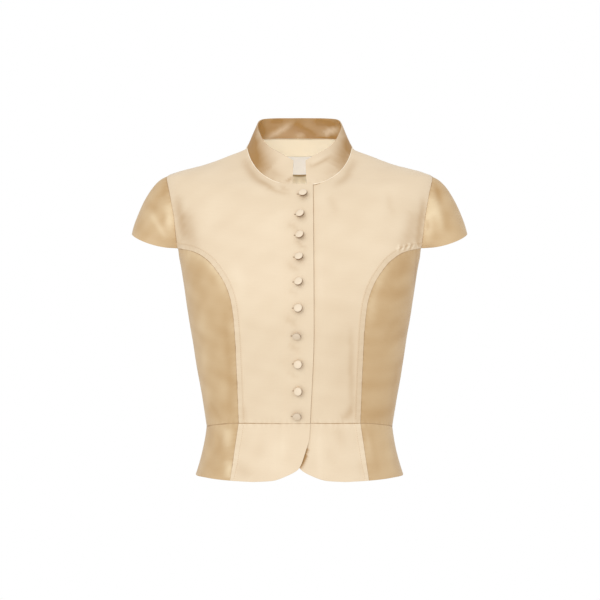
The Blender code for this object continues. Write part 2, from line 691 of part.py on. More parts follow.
def make_peplum_rest(side_waist, back_waist, finish, collection):
    """The peplum's side panels and its back, below the seams of the bodice."""
    levels = even(HEM_STEPS)
    front_seam = azimuth_of(between(PEPLUM_FRONT_SEAM, levels), levels)
    back_seam = azimuth_of(between(PEPLUM_BACK_SEAM, levels), levels, True)
    top = figure_azimuth(side_waist)
    share = (top - top[0]) / (top[-1] - top[0])
    azimuth = front_seam[:, None] * (1 - share) + back_seam[:, None] * share
    azimuth[0] = top
    points, cells, normal = peplum_net(azimuth, np.repeat(levels[:, None], len(top), axis=1))
    for name in ("peplum_side_right", "peplum_side_left"):
        panel(name, points, cells, normal, finish, collection)
    top = figure_azimuth(back_waist)
    top = np.concatenate([360 - top[:0:-1], top])
    share = (180 - top) / (180 - top[-1])
    azimuth = 180 + (back_seam - 180)[:, None] * share
    azimuth[0] = top
    half = np.where(azimuth > 180, 360 - azimuth, azimuth)
    points, cells, normal = peplum_net(half, np.repeat(levels[:, None], len(top), axis=1))
    flip = np.where(azimuth.ravel() > 180, -1.0, 1.0)
    points[:, 0] *= flip
    normal[:, 0] *= flip * (np.abs(azimuth.ravel() - 180) > 1e-6)
    panel("peplum_back", points, cells, normal, finish, collection)


def make_collar(lines, finish, collection):
    """The stand collar, one strip from end to end round the neck, on the neckline's own points."""
    lower = np.vstack([lines["front_neck"], lines["back_neck"][::-1][1:]])
    ring = np.array(COLLAR_TOP, float) * MM
    upper = along(ring, lengths(lower) / lengths(lower)[-1])
    share = even(COLLAR_STEPS)[:, None, None]
    half = lower[None] * (1 - share) + upper[None] * share
    grid = np.concatenate([half, mirrored(half)[:, 1:]], axis=1)[::-1]
    normal = normals_of(grid)
    if normal[1, 1, 1] > 0:
        normal = -normal
    up = grid[-2] - grid[-1]
    gap = COLLAR_GAP * (1 + lap_share(-np.abs(grid[-1, :, :1])))
    grid[-1] += up / np.linalg.norm(up, axis=1, keepdims=True) * gap
    sheet(("collar",), grid, normal, COLLAR_CLOTH, finish, collection)


def sleeve_hem(angle, front_end, back_end):
    """The hem of the cap sleeve, from its front end (-90) over the top (0) to its back end (90 degrees)."""
    top = np.array(SLEEVE_HEM_TOP) * MM
    end = np.where(angle[:, None] < 0, front_end, back_end)
    height = np.cos(angle)
    x = end[:, 0] + (top[0] - end[:, 0]) * height
    y = top[1] * height + end[:, 1] * np.abs(np.sin(angle))
    y += np.sign(angle) * SLEEVE_HEM_BULGE * MM * np.abs(np.sin(2 * angle))
    z = end[:, 2] + (top[2] - end[:, 2]) * height**SLEEVE_HEM_SAG
    return np.column_stack([x, y, z])


def make_sleeves(lines, finish, collection):
    """The two cap sleeves, each a curved sheet from the armhole out to its hem, tapering to nothing below."""
    root = np.vstack([lines["front_armhole"][::-1], lines["back_armhole"][1:]])
    ahead = np.array([SLEEVE_END_LENGTH * MM, 0.0, 0.0])
    walked = lengths(root)
    middle = walked[ARMHOLE_STEPS]
    share = np.where(walked < middle, walked / middle - 1, (walked - middle) / (walked[-1] - middle))
    angle = share * math.pi / 2
    hem = sleeve_hem(angle, root[0] + ahead, root[-1] + ahead)
    reach = np.linalg.norm(hem - root, axis=1, keepdims=True)
    out, around, down = SLEEVE_HEAD
    pull = reach * np.column_stack([out + 0 * angle, around * np.sin(angle), down + 0 * angle])
    share = even(SLEEVE_STEPS)[:, None, None]
    grid = (1 - share) ** 2 * root + 2 * share * (1 - share) * (root + pull) + share**2 * hem
    normal = normals_of(grid)
    if normal[1, ARMHOLE_STEPS, 2] < 0:
        normal = -normal
    start = grid[1] - grid[0]
    grid[0] += start / np.linalg.norm(start, axis=1, keepdims=True) * SEAM_GAP
    sheet(("sleeve_right", "sleeve_left"), grid, normal, CLOTH, finish, collection)


def stops(first, last):
    """The two ends of a stretch of grid lines, with every whole line between them."""
    return np.concatenate([[first], np.arange(math.floor(first) + 1, math.ceil(last)), [last]])


def sample(grid, rows, columns):
    """Points of a grid's flat cells at rows and columns that may lie between its lines."""
    r = np.clip(np.floor(rows).astype(int), 0, grid.shape[0] - 2)
    c = np.clip(np.floor(columns).astype(int), 0, grid.shape[1] - 2)
    down, across = (rows - r)[:, None, None], (columns - c)[None, :, None]
    upper = grid[r][:, c] * (1 - across) + grid[r][:, c + 1] * across
    lower = grid[r + 1][:, c] * (1 - across) + grid[r + 1][:, c + 1] * across
    return upper * (1 - down) + lower * down


def make_lining(back, finish, label_finish, collection):
    """The lining that shows inside the back neck and the blank label sewn on it, on the back's own points."""
    middle = back.shape[1] // 2
    reach = NECK_STEPS + LINING_SHOULDER_STEPS
    grid = back[: LINING_ROWS + 1, middle - reach : middle + reach + 1]
    shape, cells = grid.shape, net_of(grid.shape)
    normal = outward(grid)
    grid = part_seams(grid.reshape(-1, 3), cells, normal.reshape(-1, 3), LINING_DRAW * MM).reshape(shape)
    depth = CLOTH + SEAM_GAP
    sheet(("back_lining",), grid - normal * depth, normal, LINING_CLOTH, finish, collection)
    depth += LINING_CLOTH + SEAM_GAP
    on_lining, under_lining = grid - normal * depth, grid - normal * (depth + LABEL_CLOTH)
    top, foot = np.interp(np.array(LABEL_HEIGHTS) * -MM, -grid[:, reach, 2], np.arange(LINING_ROWS + 1))
    side = np.interp(LABEL_WIDTH / 2 * MM, grid[1, reach:, 0], np.arange(reach + 1))
    rows, columns = stops(top, foot), stops(reach - side, reach + side)
    patch, under = sample(on_lining, rows, columns), sample(under_lining, rows, columns)
    wall("label", patch.reshape(-1, 3), under.reshape(-1, 3), net_of(patch.shape), label_finish, collection)


def button_profile():
    """The profile of a covered shank button, which is turned round +Z with the shank's end at the origin."""
    outline = bmesh.new()
    rows = np.array(BUTTON_PROFILE, float) * MM
    corners = [outline.verts.new((radius, 0.0, height)) for radius, height in rows[::-1]]
    for first, second in zip(corners, corners[1:]):
        outline.edges.new((first, second))
    profile = bpy.data.meshes.new("button_profile")
    outline.to_mesh(profile)
    outline.free()
    return profile


def make_buttons(finish, collection):
    """Ten covered buttons down the centre front, each tipped a little on its shank."""
    mesh = button_profile()
    mesh.materials.append(finish)
    for number, (x, height, droop, turn) in enumerate(BUTTONS, start=1):
        foot = on_sheet(np.array([x * MM]), np.array([height * MM]), -1)
        normal = outward(foot)[0]
        place = Vector(foot[0] + normal * (LAP_LIFT + BUTTON_CLEARANCE * MM))
        facing = Vector(normal).to_track_quat("Z", "X").to_matrix().to_4x4()
        button = bpy.data.objects.new(f"button_{number:02d}", mesh)
        collection.objects.link(button)
        tip = Matrix.Rotation(math.radians(turn), 4, "Z") @ Matrix.Rotation(math.radians(droop), 4, "X")
        button.matrix_world = Matrix.Translation(place) @ tip @ facing
        turned = button.modifiers.new("turned", "SCREW")
        turned.steps = turned.render_steps = BUTTON_SIDES
        turned.use_merge_vertices = True
        turned.merge_threshold = 0.00005
        turned.use_smooth_shade = True


def main():
    for old in list(bpy.data.objects):
        bpy.data.objects.remove(old)
    jacket = bpy.data.collections.new("satin_jacket")
    bpy.context.scene.collection.children.link(jacket)
    satin = material("champagne_satin", (0.80, 0.62, 0.40), 0.42, 0.3)
    lining = material("cream_lining", (0.90, 0.80, 0.62), 0.6)
    label = material("white_label", (0.88, 0.86, 0.80), 0.7)
    covered = material("covered_button_satin", (0.82, 0.65, 0.43), 0.4, 0.3)

    lines = seams()
    front_waist = make_fronts(lines, satin, jacket)
    side_waist = make_sides(lines, satin, jacket)
    back, back_waist = make_back(lines, satin, jacket)
    make_peplum_fronts(front_waist, satin, jacket)
    make_peplum_rest(side_waist, back_waist, satin, jacket)
    make_collar(lines, satin, jacket)
    make_sleeves(lines, satin, jacket)
    make_lining(back, lining, label, jacket)
    make_buttons(covered, jacket)


main()
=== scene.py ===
"""A short champagne satin jacket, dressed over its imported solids.

Every panel is worked out again here from the figure and the seam lines that the solids use, on a much
finer grid, and then gets the folds, puckers, welts, stitches and edges that cloth has. Metres, +Z up.
"""

import logging
import math
from dataclasses import dataclass, field
from enum import Enum
from typing import Any, Iterable

import bpy
import numpy as np
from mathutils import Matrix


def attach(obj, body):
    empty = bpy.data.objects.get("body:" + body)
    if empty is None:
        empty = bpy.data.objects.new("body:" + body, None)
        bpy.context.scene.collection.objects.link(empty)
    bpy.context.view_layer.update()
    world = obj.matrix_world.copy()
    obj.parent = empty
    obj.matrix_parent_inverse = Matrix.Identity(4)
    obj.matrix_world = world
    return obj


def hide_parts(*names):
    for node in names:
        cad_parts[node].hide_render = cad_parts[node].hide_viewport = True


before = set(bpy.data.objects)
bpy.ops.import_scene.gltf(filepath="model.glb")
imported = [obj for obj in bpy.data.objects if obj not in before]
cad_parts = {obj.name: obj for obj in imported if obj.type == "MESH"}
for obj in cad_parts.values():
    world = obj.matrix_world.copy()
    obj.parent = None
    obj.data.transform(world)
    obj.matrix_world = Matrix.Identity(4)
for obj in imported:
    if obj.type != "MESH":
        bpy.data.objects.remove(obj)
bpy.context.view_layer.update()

log = logging.getLogger("jacket")

Array = np.ndarray
MM = 0.001
FINE = 5  # each cell of the solids' grids becomes 5 by 5 cells here
WELD = 0.001 * MM  # points of one piece nearer than this are one point
BODY = "root"


class Side(Enum):
    """The wearer's side that a piece is on, as the factor that turns a piece made at +X into it."""

    RIGHT = -1.0
    LEFT = 1.0


class Face(Enum):
    """The half of the figure that a line lies on."""

    FRONT = -1.0
    BACK = 1.0


class Hold(Enum):
    HUNG = "hung"
    STRETCHED = "stretched"
    LAID = "laid"


# Plain curve and grid arithmetic


def even(steps: int) -> Array:
    """Shares from 0 to 1 in equal steps."""
    return np.linspace(0.0, 1.0, steps + 1)


def smooth(knots: Array, values: Array, at: Array) -> Array:
    """A smooth line through values that never swings past them.

    The slope at an inner knot is the weighted harmonic mean of the slopes beside it, or 0 where they
    differ in sign, and a cubic joins each pair of knots with those slopes.

    Args:
        knots: Rising positions.
        values: The value at each knot.
        at: Where the line is wanted, held inside the knots.

    Returns:
        The line's values at those places.
    """
    step = np.diff(knots)
    slope = np.diff(values) / step
    ahead, behind = slope[1:], slope[:-1]
    same_way = ahead * behind > 0
    weight_a = 2 * step[1:] + step[:-1]
    weight_b = step[1:] + 2 * step[:-1]
    safe = np.where(same_way, ahead * behind, 1.0)
    weighed = weight_a * np.where(same_way, ahead, 1) + weight_b * np.where(same_way, behind, 1)
    middle = (weight_a + weight_b) * safe / weighed
    tangent = np.concatenate([slope[:1], np.where(same_way, middle, 0.0), slope[-1:]])
    at = np.clip(at, knots[0], knots[-1])
    i = np.clip(np.searchsorted(knots, at, side="right") - 1, 0, len(step) - 1)
    t = (at - knots[i]) / step[i]
    return (
        values[i] * (1 + 2 * t) * (1 - t) ** 2
        + tangent[i] * step[i] * t * (1 - t) ** 2
        + values[i + 1] * t**2 * (3 - 2 * t)
        + tangent[i + 1] * step[i] * t**2 * (t - 1)
    )


def lengths(points: Array) -> Array:
    """Distance along a line of points, from 0 at its first."""
    return np.concatenate([[0.0], np.cumsum(np.linalg.norm(np.diff(points, axis=0), axis=1))])


def along(points: Array, shares: Array) -> Array:
    """Points at the given shares of a smooth line's length."""
    walked = lengths(points)
    at = np.asarray(shares) * walked[-1]
    return np.column_stack([smooth(walked, values, at) for values in points.T])


def unit(vectors: Array) -> Array:
    """The vectors at length 1."""
    return vectors / np.maximum(np.linalg.norm(vectors, axis=-1, keepdims=True), 1e-12)


def ramp(x: Array, start: float, end: float) -> Array:
    """0 before start, 1 after end, and the smooth step 3t^2 - 2t^3 between them."""
    t = np.clip((x - start) / (end - start), 0, 1)
    return t * t * (3 - 2 * t)


def fill(top: Array, bottom: Array, inner: Array, outer: Array) -> Array:
    """A grid between four lines, as a Coons patch.

    A point is the blend across of inner and outer, plus the blend down of top and bottom, less the blend
    of the four corners. The shares follow the mean lengths along each pair of lines.

    Args:
        top: The first row, from inner to outer.
        bottom: The last row.
        inner: The first column, from top to bottom.
        outer: The last column.

    Returns:
        An array of rows by columns by 3.
    """
    across = (lengths(top) / lengths(top)[-1] + lengths(bottom) / lengths(bottom)[-1]) / 2
    down = (lengths(inner) / lengths(inner)[-1] + lengths(outer) / lengths(outer)[-1]) / 2
    s, t = across[None, :, None], down[:, None, None]
    corners = (
        (1 - s) * (1 - t) * top[0] + s * (1 - t) * top[-1] + (1 - s) * t * bottom[0] + s * t * bottom[-1]
    )
    return (1 - s) * inner[:, None] + s * outer[:, None] + (1 - t) * top[None] + t * bottom[None] - corners


def net_of(shape: tuple[int, ...]) -> Array:
    """The four-sided cells of a grid with this many rows and columns."""
    index = np.arange(shape[0] * shape[1]).reshape(shape[:2])
    return np.stack([index[:-1, :-1], index[:-1, 1:], index[1:, 1:], index[1:, :-1]], axis=-1).reshape(-1, 4)


def mirrored(grid: Array) -> Array:
    """The same grid on the other side of the garment, facing out as before."""
    return grid[:, ::-1] * np.array([-1.0, 1.0, 1.0])


def both_halves(half: Array) -> Array:
    """A grid across the centre line, from its half at +X, whose first column lies on that line."""
    return np.concatenate([mirrored(half)[:, :-1], half], axis=1)


def sewn(grids: Iterable[Array]) -> tuple[Array, Array]:
    """One net of points and cells from grids that meet in common points."""
    grids = list(grids)
    points = np.concatenate([grid.reshape(-1, 3) for grid in grids])
    starts = np.cumsum([0] + [grid.shape[0] * grid.shape[1] for grid in grids[:-1]])
    cells = np.concatenate([net_of(grid.shape) + start for grid, start in zip(grids, starts)])
    rounded = np.round(points / WELD).astype(int)
    _, first, index = np.unique(rounded, axis=0, return_index=True, return_inverse=True)
    return points[first], index.reshape(-1)[cells]


def border(cells: Array) -> Array:
    """The directed edges that belong to one cell only."""
    edges = np.concatenate([cells[:, [k, (k + 1) % 4]] for k in range(4)])
    _, index, count = np.unique(np.sort(edges, axis=1), axis=0, return_inverse=True, return_counts=True)
    return edges[count[index.reshape(-1)] == 1]


def part_seams(points: Array, cells: Array, normal: Array, distance: float) -> Array:
    """Draws the border of a net back along the cloth, so that two pieces sewn together stay clear.

    A border point moves by the sum of its two edges' inward directions, scaled so that both edges move
    by the distance.
    """
    edges = border(cells)
    run = points[edges[:, 1]] - points[edges[:, 0]]
    inward = unit(np.cross(normal[edges[:, 0]] + normal[edges[:, 1]], run))
    first, across, _, down = (points[cells[:, k]] for k in range(4))
    inward *= np.sign((np.cross(across - first, down - first) * normal[cells[:, 0]]).sum())
    total = np.zeros_like(points)
    for end in (0, 1):
        np.add.at(total, edges[:, end], inward)
    share = (total**2).sum(axis=1, keepdims=True) / 2
    return points + total / np.maximum(share, 0.5) * distance


def net_normals(points: Array, cells: Array) -> Array:
    """Unit normals of a net: at each point the sum of its cells' diagonals' cross products."""
    a, b, c, d = (points[cells[:, k]] for k in range(4))
    face = np.cross(c - a, d - b)
    total = np.zeros_like(points)
    for k in range(4):
        np.add.at(total, cells[:, k], face)
    return unit(total)


# The figure under the cloth, and the cut of the jacket on it


@dataclass(frozen=True)
class Figure:
    """A general figure as level sections, each a superellipse, from the waist up to the nape.

    A section is the curve |x / half_width|^p + |(y - centre) / depth|^p = 1, where depth is the front's
    or the back's. Sizes are in millimetres: height, half width, front, back, centre and p.
    """

    rows: tuple[tuple[float, ...], ...] = (
        (-405, 133.8, -96.0, 63.0, -15.0, 2.30),
        (-365, 140.0, -101.0, 67.0, -15.0, 2.30),
        (-320, 147.8, -110.0, 73.0, -15.0, 2.35),
        (-278, 154.0, -120.0, 79.5, -14.0, 2.40),
        (-249, 159.0, -126.0, 84.0, -13.0, 2.45),
        (-220, 163.2, -127.5, 88.0, -13.0, 2.50),
        (-191, 167.4, -124.0, 91.0, -12.0, 2.55),
        (-168, 171.2, -118.0, 92.5, -11.0, 2.60),
        (-150, 175.5, -112.0, 93.0, -10.0, 2.60),
        (-128, 183.5, -104.0, 92.0, -8.0, 2.60),
        (-103, 190.5, -95.0, 89.5, -5.0, 2.50),
        (-75, 195.0, -83.0, 85.0, -2.0, 2.35),
        (-52, 194.5, -68.0, 79.0, -0.5, 2.25),
        (-42, 192.0, -56.0, 75.5, 0.0, 2.20),
        (-35, 175.0, -49.0, 73.0, 0.0, 2.20),
        (-24, 134.5, -37.5, 68.0, 0.0, 2.20),
        (-12, 102.5, -25.0, 62.0, 0.0, 2.20),
        (0, 76.0, -15.0, 55.0, 0.0, 2.20),
        (14, 75.0, -8.0, 47.0, 0.0, 2.20),
    )

    def section(self, height: Array) -> tuple[Array, ...]:
        """Half width, front, back, centre and roundness at each height."""
        table = np.array(self.rows, float)
        knots = table[:, 0] * MM
        sizes = [smooth(knots, table[:, k] * MM, height) for k in range(1, 5)]
        return (*sizes, smooth(knots, table[:, 5], height))

    def looseness(self, points: Array) -> Array:
        """The p-norm of a point's place in its section, less 1: 0 on the figure and above 0 outside it."""
        half_width, front, back, centre, power = self.section(points[..., 2])
        depth = np.where(points[..., 1] < centre, centre - front, back - centre)
        wide = np.abs(points[..., 0]) / half_width
        deep = np.abs(points[..., 1] - centre) / depth
        return (wide**power + deep**power) ** (1 / power) - 1

    def slope(self, points: Array, reach: float = 0.05 * MM) -> Array:
        """How fast looseness rises along each axis, by central differences."""
        steps = np.eye(3) * reach
        return np.stack(
            [(self.looseness(points + s) - self.looseness(points - s)) / (2 * reach) for s in steps], axis=-1
        )

    def outward(self, points: Array) -> Array:
        """Unit vectors that stand off the figure."""
        return unit(self.slope(points))

    def settle(self, points: Array) -> Array:
        """Moves points that lie near the figure onto it, by Newton's steps down the slope."""
        for _ in range(8):
            slope = self.slope(points)
            points = points - slope * (self.looseness(points) / (slope**2).sum(axis=-1))[..., None]
        return points

    def seen(self, x: Array, height: Array, face: Face) -> Array:
        """Points of the figure's front or back at x and height."""
        half_width, front, back, centre, power = self.section(height)
        depth = np.where(face.value < 0, centre - front, back - centre)
        inside = np.clip(1 - (np.abs(x) / half_width) ** power, 0, 1)
        return np.column_stack([x, centre + face.value * depth * inside ** (1 / power), height])

    def at(self, azimuth: Array, height: Array) -> Array:
        """Points at azimuths from the centre front (0) to the centre back (180), negative past the front."""
        half_width, front, back, centre, power = self.section(height)
        return ring(azimuth, half_width, front, back, centre, power, height)

    def azimuth(self, points: Array) -> Array:
        """The azimuths of points on the figure, negative past the centre front."""
        half_width, _, _, centre, power = self.section(points[:, 2])
        sine = np.clip((np.abs(points[:, 0]) / half_width), 0, 1) ** (power / 2)
        turn = np.degrees(np.arcsin(sine))
        turn = np.where(points[:, 1] > centre, 180 - turn, turn)
        return np.where(points[:, 0] < 0, -turn, turn)


def ring(
    azimuth: Array, side: Array, front: Array, back: Array, centre: Array, power: Array, z: Array
) -> Array:
    """Points of a superellipse section by azimuth: x goes as sin^(2/p) and y as cos^(2/p)."""
    turn = np.radians(np.abs(azimuth))
    depth = np.where(np.abs(azimuth) < 90, centre - front, back - centre)
    x = side * np.abs(np.sin(turn)) ** (2 / power) * np.where(azimuth < 0, -1.0, 1.0)
    y = centre - np.sign(np.cos(turn)) * depth * np.abs(np.cos(turn)) ** (2 / power)
    return np.column_stack([x, y, z + 0 * x])


@dataclass(frozen=True)
class Cloth:
    """Thicknesses and clearances in metres, as in the solids."""

    wall: float = 1.4 * MM
    collar_wall: float = 1.8 * MM
    lining: float = 1.0 * MM
    label: float = 0.6 * MM
    gap: float = 0.04 * MM  # the solids stand 0.3 mm apart, and sewn cloth doesn't
    collar_gap: float = 0.04 * MM
    lap_lift: float = 1.1 * MM
    lap_ramp: tuple[float, float] = (23 * MM, 34 * MM)
    welt_width: float = 8.0 * MM
    welt_step: float = 0.9 * MM
    welt_height: float = 0.7 * MM

    def lap_share(self, past_centre: Array) -> Array:
        """1 in the lapped part of a front, falling to 0 further out."""
        near, far = self.lap_ramp
        return ramp(past_centre, -far, -near)


@dataclass(frozen=True)
class Steps:
    """How the solids divide each line; every one is divided FINE times again here."""

    lap: int = 2
    neck: int = 8
    shoulder: int = 7
    split: int = 6
    armhole: int = 9
    princess: int = 19
    foot: int = 10
    sleeve: int = 7
    collar: int = 3
    corner: int = 7
    hem: int = 6


@dataclass(frozen=True)
class Cut:
    """The jacket's seam and edge lines, in millimetres, seen from the front or the back."""

    figure: Figure = field(default_factory=Figure)
    cloth: Cloth = field(default_factory=Cloth)
    steps: Steps = field(default_factory=Steps)
    front_neck: tuple[tuple[float, float], ...] = (
        (0, -52), (18.8, -51.6), (31, -49), (43.4, -43.8), (56, -35.4), (65.5, -24.7), (72.4, -12), (76, 0),
    )
    back_neck: tuple[tuple[float, float], ...] = (
        (0, 13.6), (30, 13.7), (54, 12.8), (66, 10), (73, 5.4), (76, 0),
    )
    front_princess: tuple[tuple[float, float], ...] = (
        (158, -144.5), (145.4, -148), (127.9, -158.8), (114.2, -174.4), (103.5, -191.6),
        (95.1, -216.6), (91.3, -247.4), (89.7, -276), (88.1, -320), (86.0, -388),
    )
    back_princess: tuple[tuple[float, float], ...] = (
        (163, -145), (141, -155), (120, -174), (103, -204), (91, -250), (82, -310), (74, -403),
    )
    lap_edge: tuple[tuple[float, float], ...] = ((19.0, -52), (19.7, -150), (20.0, -256), (15.0, -388))
    lap_height: tuple[float, float] = (-51.6, -388.0)
    breast_line: float = -180.0
    blade_line: float = -176.0
    collar_end: float = 9.8
    crowding: float = 1.25
    shoulder_tip: float = -42.0
    armhole_foot: float = -166.0
    armhole_reach: tuple[float, float] = (47.0, 54.0)
    armhole_skew: tuple[float, float] = (0.30, 0.10)
    sleeve_end: float = math.radians(129)
    waist: tuple[tuple[float, float], ...] = ((0, -388), (35, -389.5), (65, -396), (90, -402), (180, -403))

    def seen_line(
        self, rows: tuple[tuple[float, float], ...], face: Face, start: Array | None = None
    ) -> Array:
        """A dense line on the figure through a table's rows, from a start point if one is given."""
        flat = np.array(rows, float) * MM
        if start is not None:
            flat = np.vstack([start[[0, 2]], flat])
        dense = along(flat, even(600))
        line = self.figure.seen(dense[:, 0], dense[:, 1], face)
        if start is not None:
            line[0] = start
        return line

    def armhole_line(self, face: Face, start: float, end: float) -> Array:
        """The armhole between two angles from the shoulder tip.

        Height is the oval's middle plus its half height times cos, y is its reach times sin, less a skew
        that makes it fuller low down, and x is the figure's there.
        """
        angle = np.linspace(start, end, 600)
        middle = (self.shoulder_tip + self.armhole_foot) / 2 * MM
        reach = (self.shoulder_tip - self.armhole_foot) / 2 * MM
        out, skew = (pair[0 if face is Face.FRONT else 1] for pair in (self.armhole_reach, self.armhole_skew))
        y = face.value * out * MM * np.sin(angle) * (1 - skew * np.cos(angle))
        height = middle + reach * np.cos(angle)
        half_width, front, back, centre, power = self.figure.section(height)
        depth = np.where(y < centre, centre - front, back - centre)
        x = half_width * (1 - (np.abs(y - centre) / depth) ** power) ** (1 / power)
        return np.column_stack([x, y, height])

    def waist_at(self, azimuth: Array) -> Array:
        """Points of the waist seam at azimuths."""
        table = np.array(self.waist, float)
        return self.figure.at(azimuth, smooth(table[:, 0], table[:, 1] * MM, np.abs(azimuth)))

    def seams(self) -> dict[str, Array]:
        """Every line that two pieces share, on the side at +X."""
        front_neck = self.seen_line(self.front_neck, Face.FRONT)
        front_neck = front_neck[front_neck[:, 0] >= self.collar_end * MM]
        height = np.linspace(0.0, self.shoulder_tip * MM, 600)
        shoulder = np.column_stack([self.figure.section(height)[0], 0 * height, height])
        front_armhole = self.armhole_line(Face.FRONT, 0.0, self.sleeve_end)
        back_armhole = self.armhole_line(Face.BACK, 0.0, self.sleeve_end)
        foot = np.vstack(
            [
                self.armhole_line(Face.FRONT, self.sleeve_end, math.pi),
                self.armhole_line(Face.BACK, math.pi, self.sleeve_end)[1:],
            ]
        )
        steps, cloth = self.steps, self.cloth
        welt = (cloth.welt_width + cloth.welt_step) / lengths(front_armhole)[-1]
        crowded = even(steps.princess * FINE) ** self.crowding
        front_shares = np.append(even(steps.armhole * FINE) * (1 - welt), 1.0)
        lines = {
            "front_neck": along(front_neck, even(steps.neck * FINE)),
            "back_neck": along(self.seen_line(self.back_neck, Face.BACK), even(steps.neck * FINE)),
            "shoulder": along(shoulder, even(steps.shoulder * FINE)),
            "front_armhole": along(front_armhole, front_shares),
            "back_armhole": along(back_armhole, even((steps.armhole + 1) * FINE)),
            "armhole_foot": along(foot, even(steps.foot * FINE)),
            "front_princess": along(
                self.seen_line(self.front_princess, Face.FRONT, front_armhole[-1]), crowded
            ),
            "back_princess": along(self.seen_line(self.back_princess, Face.BACK, back_armhole[-1]), crowded),
        }
        for name in ("front_princess", "back_princess"):
            lines[name][-1] = self.waist_at(self.figure.azimuth(lines[name][-1:]))[0]
        return lines

    def aside(self, line: Array, distance: float) -> Array:
        """Points of the figure beside a line, towards the centre of the garment: along run x normal."""
        away = unit(np.cross(np.gradient(line, axis=0), self.figure.outward(line)))
        return self.figure.settle(line + away * distance)

    def on_figure(self, top: Array, bottom: Array, inner: Array, outer: Array) -> Array:
        """As fill, with the inside of the grid laid on the figure."""
        grid = fill(top, bottom, inner, outer)
        grid[1:-1, 1:-1] = self.figure.settle(grid[1:-1, 1:-1])
        return grid

    def chord(self, first: Array, last: Array, steps: int, face: Face) -> Array:
        """Points on the figure that look evenly spread on a straight line between two others."""
        flat = first[None] * (1 - even(steps))[:, None] + last[None] * even(steps)[:, None]
        line = self.figure.seen(flat[:, 0], flat[:, 2], face)
        line[0], line[-1] = first, last
        return line


@dataclass(frozen=True)
class Flare:
    """The peplum: straight from the waist seam to a level hem, but for a slight hollow, in millimetres."""

    cut: Cut = field(default_factory=Cut)
    hem: tuple[tuple[float, float], ...] = ((0, -469.5), (60, -469.5), (90, -472), (180, -470))
    half_width: float = 150.5
    front: float = -117.0
    back: float = 91.0
    centre: float = -13.0
    roundness: float = 2.3
    hollow: float = 2.0

    def at(self, azimuth: Array, down: Array) -> Array:
        """Points at azimuths and at shares of the way down.

        A point is the blend of the waist seam's and the hem's at the same azimuth, drawn in towards the
        middle by hollow times 4 t (1 - t).
        """
        azimuth, down = np.ravel(azimuth), np.ravel(down)
        table = np.array(self.hem, float)
        level = smooth(table[:, 0], table[:, 1] * MM, np.abs(azimuth))
        sizes = (self.half_width * MM, self.front * MM, self.back * MM, self.centre * MM)
        foot = ring(azimuth, *sizes, self.roundness, level)
        flat = self.cut.waist_at(azimuth) * (1 - down[:, None]) + foot * down[:, None]
        inwards = unit(np.array([0.0, self.centre * MM]) - flat[:, :2])
        flat[:, :2] += inwards * (self.hollow * MM * 4 * down * (1 - down))[:, None]
        return flat

    def outward(self, azimuth: Array, down: Array, turn: float = 0.2, drop: float = 0.01) -> Array:
        """Unit vectors that stand off the peplum, from differences down and across."""
        azimuth, down = np.ravel(azimuth), np.ravel(down)
        across = self.at(azimuth + turn, down) - self.at(azimuth - turn, down)
        fall = self.at(azimuth, down + drop) - self.at(azimuth, down - drop)
        return unit(np.cross(fall, across))

    def azimuth_of(self, x: Array, down: Array, face: Face = Face.FRONT) -> Array:
        """The azimuths where the peplum lies at x, found by halving a range 40 times."""
        low = np.full(len(x), -40.0 if face is Face.FRONT else 180.0)
        high = np.full(len(x), 90.0)
        for _ in range(40):
            middle = (low + high) / 2
            short = self.at(middle, down)[:, 0] < x
            low, high = np.where(short, middle, low), np.where(short, high, middle)
        return (low + high) / 2


# Folds in the cloth


@dataclass(frozen=True)
class Fold:
    """A soft trough in the cloth, a ridge where depth is below 0, or only a change in its lustre.

    Across, both go as a bell curve, exp(-(distance / width)^2), and along the path they swell and die
    away as sin(pi t)^0.5. The path is drawn as it is seen from the front or the back, and lies on the
    cloth that is nearest to the eye there. The lustre change is painted: painted shade where it is below
    0 and a painted highlight where it is above 0.
    """

    path: tuple[tuple[float, float], ...]  # x and height, in millimetres
    width: float
    depth: float = 0.0
    # painted highlight above 0, painted shade below 0
    lustre: float = 0.0
    face: Face = Face.FRONT

    def laid(self, cloud: Array) -> Array:
        """The path in the room, as points of the cloth's own net."""
        dense = along(np.array(self.path, float) * MM, even(40))
        away = ((cloud[None, :, [0, 2]] - dense[:, None]) ** 2).sum(axis=2)
        near = away < np.maximum((5 * MM) ** 2, 1.01 * away.min(axis=1, keepdims=True))
        ahead = self.face.value * cloud[:, 1]
        nearest = np.where(near, ahead, -1.0).max(axis=1, keepdims=True)
        seen = near & (ahead[None] > nearest - 20 * MM)
        return cloud[np.where(seen, away, 1.0).argmin(axis=1)]

    def share(self, points: Array, line: Array) -> Array:
        """How strongly the fold acts on each point, from 0 to 1."""
        away = np.linalg.norm(points[:, None] - line[None], axis=2)
        swell = np.sin(np.pi * (away.argmin(axis=1) + 0.5) / (len(line) + 0.01)) ** 0.5
        return swell * np.exp(-((away.min(axis=1) / (self.width * MM)) ** 2))


def ease(points: Array, amount: float, span: float, seed: int = 7) -> Array:
    """The slight unevenness of cloth that fits without being pulled tight, in metres.

    It is a sum of nine plane waves with seeded directions and phases, whose lengths lie between half
    and one and a half spans, divided by the root of their number.
    """
    dice = np.random.default_rng(seed)
    waves = unit(dice.normal(size=(9, 3))) * (2 * np.pi / (span * dice.uniform(0.5, 1.5, (9, 1))))
    phase = dice.uniform(0, 2 * np.pi, 9)
    return amount * np.sin(points @ waves.T + phase).sum(axis=1) / 3


